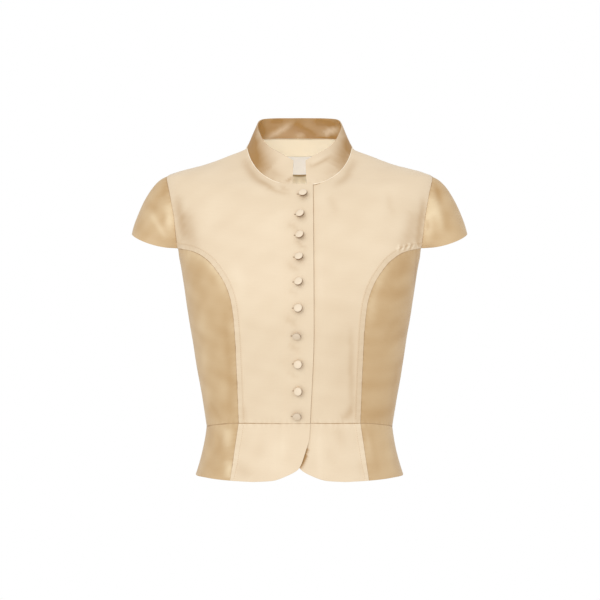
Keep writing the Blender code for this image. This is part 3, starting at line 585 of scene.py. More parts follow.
@dataclass
class Relief:
    """What folds, unevenness and the pull of the seams do to one piece of cloth."""

    cloud: Array
    folds: tuple[Fold, ...] = ()
    amount: float = 0.14 * MM
    span: float = 60 * MM
    mottle: float = 0.02
    seams: tuple[Array, ...] = ()
    pucker: float = 0.10 * MM
    reach: float = 5 * MM
    lines: list[Array] = field(default_factory=list)

    def __post_init__(self) -> None:
        """Lays every fold on the cloth."""
        self.lines = [fold.laid(self.cloud) for fold in self.folds]

    def gathers(self, points: Array) -> Array:
        """The ripples that a sewn seam draws into the cloth beside it, between -1 and 1.

        Beside a seam they go as exp(-(distance / reach)^2) times sin of a phase that runs along it by one
        turn each 9 mm, and is shifted by up to a quarter turn by a slower wave.
        """
        total = np.zeros(len(points))
        for seam in self.seams:
            away = np.linalg.norm(points[:, None] - seam[None], axis=2)
            run = lengths(seam)[away.argmin(axis=1)] / (9 * MM)
            phase = 2 * np.pi * run + 1.5 * np.sin(1.7 * run + 40 * seam[0, 0])
            total += np.exp(-((away.min(axis=1) / self.reach) ** 2)) * np.sin(phase)
        return total

    def sink(self, points: Array) -> Array:
        """How far each point sinks, in metres."""
        total = ease(points, self.amount, self.span) + self.pucker * self.gathers(points)
        for fold, line in zip(self.folds, self.lines):
            if fold.depth:
                total += fold.depth * MM * fold.share(points, line)
        return total

    def lustre(self, points: Array) -> Array:
        """The painted sheen at each point, or painted shade where it is below 0, from the seam ripples, the
        folds and a random mottle.
        """
        total = 0.05 * self.gathers(points) + ease(points, self.mottle, 0.6 * self.span, seed=19)
        for fold, line in zip(self.folds, self.lines):
            if fold.lustre:
                total += fold.lustre * fold.share(points, line)
        return total


# Finishes


def from_hex(code: str, alpha: float = 1.0) -> tuple[float, float, float, float]:
    """Turns an sRGB hex value such as E8D3B0 to linear red, green, blue and alpha."""
    parts = (int(code[k : k + 2], 16) / 255 for k in (0, 2, 4))
    linear = [c / 12.92 if c <= 0.04045 else ((c + 0.055) / 1.055) ** 2.4 for c in parts]
    return (*linear, alpha)


def add_node(tree: bpy.types.NodeTree, kind: str, settings: dict[str, Any], **inputs: Any) -> bpy.types.Node:
    """Adds a shader node with its settings and links.

    Args:
        tree: The material's or world's node tree.
        kind: The node's Blender type.
        settings: Properties of the node by name.
        inputs: Sockets by name or s-number, each a plain value or another node's output socket.

    Returns:
        The node.
    """
    made = tree.nodes.new(kind)
    for name, value in settings.items():
        setattr(made, name, value)
    for name, value in inputs.items():
        place = int(name[1:]) if name[0] == "s" and name[1:].isdigit() else name.replace("_", " ")
        socket = made.inputs[place]
        if isinstance(value, bpy.types.NodeSocket):
            tree.links.new(value, socket)
        else:
            socket.default_value = value
    return made


@dataclass(frozen=True)
class Satin:
    """Duchess satin, woven of fine filament yarn with long floats and calendered.

    It is a warm gold ground mixed with a broad pale sheen colour, a painted highlight where the floats
    would face the light; the share is stand plus the lustre attribute, which paints more sheen above 0
    and painted shade, towards the ground, below 0. Slubs 14 mm long and 0.8 mm high streak it along
    the weft, and it drifts over 35 mm.
    """

    name: str
    # stand is the share of painted sheen, a painted highlight, before the lustre attribute's painted sheen
    # and shade
    stand: float  # the share of pale sheen over the gold ground, before folds
    ground: str = "AE844C"
    sheen: str = "F6E4C8"
    streak: float = 0.07
    drift: float = 0.04
    roughness: float = 0.42
    specular: float = 0.35
    slub: tuple[float, float] = (14.0, 0.8)  # millimetres along and across the weft
    bump: float = 0.25

    def material(self) -> bpy.types.Material:
        """The material, made once and then found by its name."""
        if self.name in bpy.data.materials:
            return bpy.data.materials[self.name]
        made = bpy.data.materials.new(self.name)
        made.use_nodes = True
        tree = made.node_tree
        shader = tree.nodes["Principled BSDF"]
        place = add_node(tree, "ShaderNodeTexCoord", {})
        run, high = (1 / (size * MM) for size in self.slub)
        weft = add_node(tree, "ShaderNodeMapping", {}, Vector=place.outputs["Object"], Scale=(run, run, high))
        slubs = add_node(
            tree, "ShaderNodeTexNoise", {}, Vector=weft.outputs["Vector"], Scale=1.0, Detail=3.0,
            Roughness=0.55,
        )
        cloud = add_node(
            tree, "ShaderNodeTexNoise", {}, Vector=place.outputs["Object"], Scale=1 / (35 * MM), Detail=2.0
        )
        turned = add_node(tree, "ShaderNodeAttribute", {"attribute_name": "lustre"})
        floor = self.stand - (self.streak + self.drift) / 2
        add = {"operation": "MULTIPLY_ADD"}
        first = add_node(tree, "ShaderNodeMath", add, s0=slubs.outputs["Fac"], s1=self.streak, s2=floor)
        second = add_node(
            tree, "ShaderNodeMath", add, s0=cloud.outputs["Fac"], s1=self.drift, s2=first.outputs[0]
        )
        whole = add_node(tree, "ShaderNodeMath", add, s0=turned.outputs["Fac"], s1=1.0, s2=second.outputs[0])
        # Painted sheen and shade: the base colour is mixed from ground to sheen by stand, slubs, drift and
        # the lustre attribute
        colour = add_node(
            tree, "ShaderNodeMix", {"data_type": "RGBA"}, Factor=whole.outputs[0], s6=from_hex(self.ground),
            s7=from_hex(self.sheen),
        )
        bump = add_node(
            tree, "ShaderNodeBump", {}, Strength=self.bump, Distance=0.05 * MM, Height=slubs.outputs["Fac"]
        )
        tree.links.new(colour.outputs[2], shader.inputs["Base Color"])
        tree.links.new(bump.outputs["Normal"], shader.inputs["Normal"])
        shader.inputs["Roughness"].default_value = self.roughness
        shader.inputs["IOR"].default_value = 1.54
        shader.inputs["Specular IOR Level"].default_value = self.specular
        return made


@dataclass(frozen=True)
class PlainWeave:
    """A matt woven cloth such as a lining or a label, with threads at the given spacing in millimetres.

    The crossing threads are drawn no finer than 0.8 mm, which is what the render can show. Where the
    cloth's lustre attribute is below 0, its colour is mixed towards the deep tone as painted shade.
    """

    name: str
    ground: str
    drift: str
    # deep is the colour of painted shade, used where the lustre attribute is below 0
    deep: str = "8E7446"
    spacing: float = 0.8
    roughness: float = 0.6
    bump: float = 0.3
    sheen: float = 0.1

    def material(self) -> bpy.types.Material:
        """The material, made once and then found by its name."""
        if self.name in bpy.data.materials:
            return bpy.data.materials[self.name]
        made = bpy.data.materials.new(self.name)
        made.use_nodes = True
        tree = made.node_tree
        shader = tree.nodes["Principled BSDF"]
        place = add_node(tree, "ShaderNodeTexCoord", {})
        rate = 1 / (self.spacing * MM) / 6.2832
        warp = add_node(
            tree, "ShaderNodeTexWave", {"bands_direction": "X"}, Vector=place.outputs["Object"], Scale=rate,
            Distortion=0.6,
        )
        weft = add_node(
            tree, "ShaderNodeTexWave", {"bands_direction": "Z"}, Vector=place.outputs["Object"], Scale=rate,
            Distortion=0.6,
        )
        threads = add_node(
            tree, "ShaderNodeMath", {"operation": "ADD"}, s0=warp.outputs["Fac"], s1=weft.outputs["Fac"]
        )
        cloud = add_node(
            tree, "ShaderNodeTexNoise", {}, Vector=place.outputs["Object"], Scale=1 / (30 * MM), Detail=3.0
        )
        colour = add_node(
            tree, "ShaderNodeMix", {"data_type": "RGBA"}, Factor=cloud.outputs["Fac"],
            s6=from_hex(self.ground), s7=from_hex(self.drift),
        )
        bump = add_node(
            tree, "ShaderNodeBump", {}, Strength=self.bump, Distance=0.05 * MM, Height=threads.outputs[0]
        )
        # Painted shade: the colour is mixed towards deep where the lustre attribute is below 0
        turned = add_node(tree, "ShaderNodeAttribute", {"attribute_name": "lustre"})
        painted_shade_share = add_node(
            tree, "ShaderNodeMath", {"operation": "MULTIPLY"}, s0=turned.outputs["Fac"], s1=-1.0
        )
        shaded = add_node(
            tree, "ShaderNodeMix", {"data_type": "RGBA"}, Factor=painted_shade_share.outputs[0], s6=colour.outputs[2],
            s7=from_hex(self.deep),
        )
        tree.links.new(shaded.outputs[2], shader.inputs["Base Color"])
        tree.links.new(bump.outputs["Normal"], shader.inputs["Normal"])
        shader.inputs["Roughness"].default_value = self.roughness
        shader.inputs["IOR"].default_value = 1.5
        shader.inputs["Sheen Weight"].default_value = self.sheen
        return made


# Painted sheen and shade: the front-grain satin of the fronts, back, collar and peplum front and back is
# painted much paler than the cross-grain satin of the side panels, peplum sides and sleeves, which stands for
# shade where they turn from the light
SATIN = Satin("duchess_satin_front_grain", 0.80)
SATIN_CROSS_PAINTED_SHADE = Satin("duchess_satin_cross_grain", 0.45, ground="B08448", sheen="F2DCB6", drift=0.05)
# Its dark brown ground is the painted shade of each button's side wall and underside
BUTTON_SATIN = Satin(
    "satin_stretched_on_button", 0.92, ground="6E4418", sheen="F8E6CC", roughness=0.38, streak=0.03,
    drift=0.02,
)
# Painted highlight: the rolled neck edge is coloured all pale sheen
ROLLED_PAINTED_HIGHLIGHT = Satin("satin_rolled_over_a_seam", 1.0, sheen="FDF0DA", streak=0.03, drift=0.02)
# Painted shadow: dark brown tubes laid in the seams, under the neck roll and at the lap edge, where there is
# only shade
SEAM_SHADOW = Satin(
    "satin_sunk_in_a_seam", 0.34, ground="8A5A24", sheen="F2D8B0", streak=0.05, drift=0.12, roughness=0.7
)
STITCH = Satin("spun_polyester_stitches", 0.42, streak=0.0, drift=0.15, roughness=0.6)
# Painted shade: the buttonhole rims are brown for the shade in the slits
SLIT = Satin("thread_worked_buttonhole", 0.40, ground="7A4E20", streak=0.0, drift=0.10, roughness=0.75)
LINING = PlainWeave("acetate_lining_twill", "F9EED6", "F6E8CC")
LABEL = PlainWeave("plain_white_label_tape", "EDE8E2", "E8E4DC", spacing=0.8, roughness=0.7)


# Pieces


@dataclass(frozen=True)
class Sheet:
    """The cut of a piece of cloth: its rectangle and area in metres, and how it is held."""

    width: float
    length: float
    area: float
    held: Hold = Hold.HUNG


def add_piece(
    name: str, points: Array, faces: list, finishes: list, slots: Array | None = None,
    lustre: Array | None = None,
) -> bpy.types.Object:
    """Makes a mesh object at the origin from points and faces.

    Args:
        name: The object's name.
        points: Its points, in metres.
        faces: Its faces, as lists of point numbers.
        finishes: Its finishes, one for each material slot.
        slots: The material slot of each face, if there is more than one.
        lustre: The lustre attribute of each point.

    Returns:
        The object, linked into the scene and riding on the part's body.
    """
    mesh = bpy.data.meshes.new(name)
    mesh.from_pydata(points.tolist(), [], faces)
    for finish in finishes:
        mesh.materials.append(finish.material())
    if slots is not None:
        mesh.polygons.foreach_set("material_index", slots.astype(np.int32))
    if lustre is not None:
        mesh.attributes.new("lustre", "FLOAT", "POINT").data.foreach_set("value", lustre.astype(np.float32))
    mesh.shade_smooth()
    made = bpy.data.objects.new(name, mesh)
    bpy.context.scene.collection.objects.link(made)
    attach(made, BODY)
    return made


def cloth_wall(
    name: str, outer: Array, inner: Array, cells: Array, finishes: tuple[Any, Any], side: Side,
    lustre: tuple[Array, Array] | None = None,
) -> bpy.types.Object:
    """A closed wall of cloth between an outer and an inner net, with its edges turned softly over.

    Args:
        name: The object's name.
        outer: The outer net's points at +X.
        inner: The inner net's points.
        cells: The cells of both nets.
        finishes: The finish of the outer face and the edges, and that of the inner face.
        side: The side that the piece is on.
        lustre: The lustre of the outer and of the inner points.

    Returns:
        The object.
    """
    flip = np.array([side.value, 1.0, 1.0])
    outer, inner = outer * flip, inner * flip
    if (np.einsum("ij,ij->i", net_normals(outer, cells), outer - inner)).sum() < 0:
        cells = cells[:, [0, 3, 2, 1]]
    under = len(outer)
    edges = border(cells)
    rim = np.stack([edges[:, 1], edges[:, 0], edges[:, 0] + under, edges[:, 1] + under], axis=-1)
    faces = np.concatenate([cells, rim, cells[:, [0, 3, 2, 1]] + under])
    slots = np.concatenate([np.zeros(len(cells) + len(rim)), np.ones(len(cells))])
    shades = np.concatenate(lustre) if lustre else np.zeros(2 * under)
    made = add_piece(name, np.concatenate([outer, inner]), faces.tolist(), list(finishes), slots, shades)
    made.data.set_sharp_from_angle(angle=math.radians(60))
    turned = made.modifiers.new("turned_edge", "BEVEL")
    turned.width = 0.45 * MM
    turned.segments = 2
    turned.limit_method = "ANGLE"
    turned.angle_limit = math.radians(60)
    return made


def declare(made: bpy.types.Object, node: str, sheet: Sheet) -> None:
    """Hides the solid that a piece stands for and logs its number of points and the size of its cut."""
    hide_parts(node)
    count = len(made.data.vertices)
    log.info("%s: %d points, cut %.0f by %.0f mm", made.name, count, sheet.width / MM, sheet.length / MM)


@dataclass
class Shell:
    """The relief and the lift of one built panel, kept so that seams and stitches can lie on it."""

    relief: Relief
    lift: float = 0.0


@dataclass
class Bodice:
    """The fronts, side panels and back, down to the waist seam."""

    cut: Cut
    lines: dict[str, Array] = field(default_factory=dict)
    front_sheet: Sheet = Sheet(0.215, 0.400, 0.058)
    side_sheet: Sheet = Sheet(0.235, 0.265, 0.055)
    back_sheet: Sheet = Sheet(0.400, 0.425, 0.110)
    # In every fold table below, a fold's fourth value paints shade where it is below 0 and a highlight where
    # it is above 0; folds of depth 0 are painted only
    front_right_folds: tuple[Fold, ...] = (
        Fold(((-176, -66), (-170, -100), (-165, -132)), 8, 1.2, -0.30),
        Fold(((-163, -88), (-157, -118), (-148, -146)), 11, 1.0, -0.26),
        Fold(((-80, -14), (-70, -32), (-58, -46), (-40, -58)), 6.5, 0.5, -0.30),
        Fold(((-56, -45), (-33, -60), (-13, -67)), 3.5, 0.7, -0.20),
        Fold(((-30, -53), (-22, -58), (-14, -60)), 2.5, 0.4, -0.14),
        Fold(((-8, -130), (0, -134), (9, -141)), 3.0, 0.7, -0.16),
        Fold(((-16, -104), (-2, -116)), 4.0, 0.6, -0.13),
        Fold(((-16, -160), (-2, -172)), 4.0, 0.6, -0.13),
        Fold(((-15, -196), (-3, -205)), 3.5, 0.5, -0.09),
        Fold(((-19, -237), (-3, -248)), 4.0, 0.6, -0.14),
        Fold(((-15, -271), (-2, -284)), 4.0, 0.6, -0.13),
        Fold(((-17, -312), (-3, -322)), 3.5, 0.5, -0.10),
        Fold(((-80, -360), (-77, -388)), 4.0, 0.4, -0.10),
        Fold(((-45, -92), (-38, -120), (-42, -150)), 22, 0.8, 0.05),
        Fold(((-120, -70), (-128, -110)), 16, 0.6, 0.05),
        Fold(((-95, -156), (-85, -180), (-80, -230)), 9, 0.0, 0.06),
    )
    front_left_folds: tuple[Fold, ...] = (
        Fold(((178, -70), (173, -105), (167, -146)), 7, 1.2, -0.34),
        Fold(((164, -88), (158, -118), (146, -142)), 11, 1.0, -0.24),
        Fold(((125, -62), (129, -78), (131, -95)), 5, 0.5, -0.08),
        Fold(((42, -66), (47, -78), (52, -92)), 6, 0.6, -0.10),
        Fold(((80, -16), (66, -40), (50, -54)), 6, 0.5, -0.24),
        Fold(((72, -250), (73, -320), (75, -384)), 4.5, 0.4, -0.16),
        Fold(((58, -384), (68, -377), (74, -366)), 5, 0.5, -0.20),
        Fold(((62, -205), (66, -300), (70, -392)), 32, 0.0, -0.10),
        Fold(((138, -146), (141, -138)), 1.3, -0.5, 0.30),
        Fold(((144, -145), (149, -137)), 1.3, -0.5, 0.34),
        Fold(((151, -144), (157, -135)), 1.3, -0.5, 0.34),
        Fold(((158, -144), (163, -135)), 1.3, -0.4, 0.20),
        Fold(((165, -135), (169, -143)), 1.3, -0.5, 0.34),
        Fold(((141, -146), (145, -137)), 1.2, 0.4, -0.20),
        Fold(((147, -145), (152, -136)), 1.2, 0.4, -0.22),
        Fold(((155, -145), (160, -135)), 1.2, 0.4, -0.20),
        Fold(((110, -90), (100, -130), (104, -160)), 20, 0.6, 0.05),
    )
    side_right_folds: tuple[Fold, ...] = (
        Fold(((-160, -147), (-132, -154), (-116, -172), (-102, -204)), 8, 0.0, 0.34),
        Fold(((-151, -158), (-141, -190), (-133, -220)), 10, 0.5, -0.08),
        Fold(((-104, -225), (-100, -300), (-96, -392)), 7, 0.3, -0.14),
        Fold(((-137, -210), (-134, -290), (-131, -372)), 8, -0.4, 0.07),
        Fold(((-129, -363), (-114, -383)), 5, 0.5, -0.12),
        Fold(((-150, -300), (-142, -360)), 7, 0.5, -0.06),
    )
    side_left_folds: tuple[Fold, ...] = (
        Fold(((140, -152), (119, -172), (104, -206), (98, -250)), 7, 0.0, 0.20),
        Fold(((158, -156), (140, -178), (122, -196)), 9, 0.6, -0.12),
        Fold(((156, -211), (140, -218), (124, -223)), 6, -0.5, 0.10),
        Fold(((150, -230), (134, -248), (118, -268)), 8, 0.6, -0.10),
        Fold(((146, -268), (134, -284), (122, -292)), 6, -0.4, 0.06),
        Fold(((167, -142), (166, -175), (163, -212)), 4, 0.4, -0.16),
        Fold(((140, -310), (134, -350), (130, -392)), 7, 0.4, -0.08),
    )
    back_folds: tuple[Fold, ...] = (
        Fold(((-172, -70), (-163, -105), (-150, -140)), 10, 1.2, -0.28, Face.BACK),
        Fold(((172, -68), (165, -100), (154, -142)), 11, 1.0, -0.24, Face.BACK),
        Fold(((-60, 2), (-40, -14), (-10, -20)), 5, 0.5, -0.10, Face.BACK),
        Fold(((-20, -300), (-6, -340), (-14, -392)), 9, 0.8, -0.10, Face.BACK),
        Fold(((36, -310), (28, -350), (34, -396)), 8, 0.7, -0.08, Face.BACK),
        Fold(((-58, -345), (-40, -372), (-10, -384)), 6, 0.6, -0.08, Face.BACK),
        Fold(((14, -120), (8, -170), (16, -230)), 18, -0.7, 0.06, Face.BACK),
        Fold(((95, -150), (70, -190), (66, -240)), 10, 0.6, -0.08, Face.BACK),
        Fold(((-96, -160), (-76, -196), (-70, -250)), 10, 0.6, -0.07, Face.BACK),
    )
    waists: dict[str, Array] = field(default_factory=dict)
    shells: dict[str, Shell] = field(default_factory=dict)
    strip: Array | None = None
    upper_back: Array | None = None

    def build(self) -> None:
        """Builds and dresses every panel."""
        self.lines = self.cut.seams()
        self.build_fronts()
        self.build_sides()
        self.build_back()

    def welt_strip(self) -> Array:
        """The welt beside the front princess seam, from its foot over its brow to the seam.

        Across it the points stand at growing shares of the welt's width, and every row runs square to
        the seam, but for the first on the armhole and the last on the waist seam.
        """
        cloth, seam, armhole = self.cut.cloth, self.lines["front_princess"], self.lines["front_armhole"]
        wide = cloth.welt_width + cloth.welt_step
        off = np.concatenate([wide - cloth.welt_step * even(FINE), cloth.welt_width * (1 - even(FINE)[1:])])
        strip = np.stack([self.cut.aside(seam, d) for d in off[:-1]] + [seam], axis=1)
        end = self.cut.armhole_line(Face.FRONT, 0.0, self.cut.sleeve_end)[-120:]
        strip[0] = along(end, 1 - off / lengths(end)[-1])
        strip[0, 0], strip[0, -1] = armhole[-2], armhole[-1]
        strip[-1] = self.cut.waist_at(self.cut.figure.azimuth(strip[-1]))
        return strip

    def front_blocks(self) -> tuple[Array, Array, Array]:
        """The front at +X in three grids: above the breast line, below it, and the welt."""
        cut, lines, st = self.cut, self.lines, self.cut.steps
        steps, split = (st.lap + st.neck + st.shoulder - st.split) * FINE, st.split * FINE
        edge = np.array(cut.lap_edge, float)[::-1] * MM
        neck, waist, breast = (h * MM for h in (*cut.lap_height, cut.breast_line))
        lower = breast + (waist - breast) * even((st.princess - st.split) * FINE)
        heights = np.concatenate([np.linspace(neck, breast, st.armhole * FINE + 1), lower[1:]])
        inner = cut.figure.seen(-smooth(edge[:, 1], edge[:, 0], heights), heights, Face.FRONT)
        strip = self.welt_strip()
        ends = np.array([inner[0, 0], -cut.collar_end * MM, cut.collar_end * MM])
        lap_x = np.interp(np.linspace(0, 2, 2 * FINE + 1), np.arange(3), ends)
        lap_top = cut.figure.seen(lap_x, np.full(len(lap_x), neck), Face.FRONT)
        top = np.vstack([lap_top, lines["front_neck"][1:], lines["shoulder"][1:]])
        turn = cut.figure.azimuth(np.array([inner[-1], strip[-1, 0]]))
        bottom = cut.waist_at(turn[0] + (turn[1] - turn[0]) * even(steps))
        inner[-1] = bottom[0]
        rows = st.armhole * FINE
        level = cut.chord(inner[rows], strip[split, 0], steps, Face.FRONT)
        foot = np.vstack([level, strip[split - 1 :: -1, 0]])
        upper_grid = cut.on_figure(top, foot, inner[: rows + 1], lines["front_armhole"][:-1])
        lower_grid = cut.on_figure(level, bottom, inner[rows:], strip[split:, 0])
        return upper_grid, lower_grid, strip

    def build_fronts(self) -> None:
        """Both fronts: the wearer's right one laps over the left one."""
        cloth = self.cut.cloth
        upper, lower, strip = self.front_blocks()
        self.strip = strip
        points, cells = sewn([upper, lower, strip])
        normal = self.cut.figure.outward(points)
        rise = cloth.welt_height * self.welt_share(points, strip)
        parted = part_seams(points, cells, normal, cloth.gap / 2)
        self.waists["front"] = np.vstack([lower[-1], strip[-1, 1:]])
        seams = (self.lines["front_princess"], self.lines["front_armhole"], self.waists["front"])
        for side, lift, folds in (
            (Side.RIGHT, cloth.lap_lift, self.front_right_folds + self.button_dents_and_shadows()),
            (Side.LEFT, -cloth.lap_lift, self.front_left_folds),
        ):
            flip = np.array([side.value, 1, 1])
            relief = Relief(points * flip, folds, seams=tuple(seam * flip for seam in seams))
            off = lift * cloth.lap_share(-points[:, 0]) - relief.sink(points * flip)
            base = parted + normal * off[:, None]
            node = f"front_{side.name.lower()}"
            # Painted sheen and shade from the folds; the welts are painted darker, more on the wearer's left,
            # the side away from the key light
            shade = relief.lustre(points * flip) - (0.04 if side is Side.RIGHT else 0.10) * (rise > 0)
            made = cloth_wall(
                f"{node}_satin", base + normal * rise[:, None], base - normal * cloth.wall, cells,
                (SATIN, LINING), side, (shade, 0 * shade),
            )
            declare(made, node, self.front_sheet)
            self.shells[node] = Shell(relief, lift)

    def button_dents_and_shadows(self) -> tuple[Fold, ...]:
        """The dent that each button's weight makes under its lower, outer side, and a painted shadow in it.
        """
        return tuple(
            Fold(((x - 2, height - 4), (x + 2, height - 6), (x + 6, height - 3)), 4.5, 0.35, -0.16)
            for x, height, _, _ in CoveredButtons.table
        )

    def welt_share(self, points: Array, strip: Array) -> Array:
        """1 on a welt's top, falling to 0 over its step, by each point's column in the strip."""
        share = np.concatenate([ramp(even(FINE), 0.0, 1.0), np.ones(FINE)])
        flat = np.round(strip.reshape(-1, 3) / WELD).astype(int)
        both = np.concatenate([flat, np.round(points / WELD).astype(int)])
        _, first, index = np.unique(both, axis=0, return_index=True, return_inverse=True)
        source = first[index.reshape(-1)[len(flat) :]]
        on_strip = source < len(flat)
        return np.where(on_strip, np.tile(share, len(strip))[np.minimum(source, len(flat) - 1)], 0.0)

    def build_sides(self) -> None:
        """The panel under each arm."""
        cut, lines, cloth = self.cut, self.lines, self.cut.cloth
        turn = cut.figure.azimuth(np.array([lines["front_princess"][-1], lines["back_princess"][-1]]))
        bottom = cut.waist_at(turn[0] + (turn[1] - turn[0]) * even(cut.steps.foot * FINE))
        grid = cut.on_figure(lines["armhole_foot"], bottom, lines["front_princess"], lines["back_princess"])
        self.waists["side"] = grid[-1]
        points, cells = sewn([grid])
        normal = cut.figure.outward(points)
        parted = part_seams(points, cells, normal, cloth.gap / 2)
        seams = (lines["front_princess"], lines["back_princess"], grid[-1])
        for side, folds in ((Side.RIGHT, self.side_right_folds), (Side.LEFT, self.side_left_folds)):
            flip = np.array([side.value, 1, 1])
            relief = Relief(points * flip, folds, seams=tuple(seam * flip for seam in seams), mottle=0.05)
            base = parted - normal * relief.sink(points * flip)[:, None]
            node = f"side_{side.name.lower()}"
            # Painted shade: the side panel on the wearer's left, away from the key light, is painted darker
            shade = relief.lustre(points * flip) - (0.09 if side is Side.LEFT else 0.0)
            made = cloth_wall(
                f"{node}_satin", base, base - normal * cloth.wall, cells, (SATIN_CROSS_PAINTED_SHADE, LINING), side,
                (shade, 0 * shade),
            )
            declare(made, node, self.side_sheet)

    def build_back(self) -> None:
        """The back, in one piece from princess seam to princess seam."""
        cut, lines, st, cloth = self.cut, self.lines, self.cut.steps, self.cut.cloth
        steps, split = (st.neck + st.shoulder - st.split) * FINE, st.split * FINE
        seam = lines["back_princess"]
        top = np.vstack([lines["back_neck"], lines["shoulder"][1:]])
        blade, waist = cut.blade_line * MM, cut.waist_at(np.array([180.0]))[0, 2]
        rows = (st.armhole + 1) * FINE
        lower = blade + (waist - blade) * even((st.princess - st.split) * FINE)
        heights = np.concatenate([np.linspace(top[0, 2], blade, rows + 1), lower[1:]])
        inner = cut.figure.seen(0 * heights, heights, Face.BACK)
        bottom = cut.waist_at(180.0 + (cut.figure.azimuth(seam[-1:])[0] - 180.0) * even(steps))
        inner[-1], bottom[-1] = bottom[0], seam[-1]
        level = cut.chord(inner[rows], seam[split], steps, Face.BACK)
        foot = np.vstack([level, seam[split - 1 :: -1]])
        upper = both_halves(cut.on_figure(top, foot, inner[: rows + 1], lines["back_armhole"]))
        low = both_halves(cut.on_figure(level, bottom, inner[rows:], seam[split:]))
        self.waists["back"], self.upper_back = bottom, upper
        points, cells = sewn([upper, low])
        normal = cut.figure.outward(points)
        sewn_lines = (seam, lines["back_armhole"], bottom)
        flip = np.array([-1.0, 1.0, 1.0])
        relief = Relief(points, self.back_folds, seams=(*sewn_lines, *(line * flip for line in sewn_lines)))
        base = part_seams(points, cells, normal, cloth.gap / 2) - normal * relief.sink(points)[:, None]
        shade = relief.lustre(points)
        made = cloth_wall(
            "back_satin", base, base - normal * cloth.wall, cells, (SATIN, LINING), Side.LEFT,
            (shade, 0 * shade),
        )
        declare(made, "back", self.back_sheet)
        self.shells["back"] = Shell(relief)


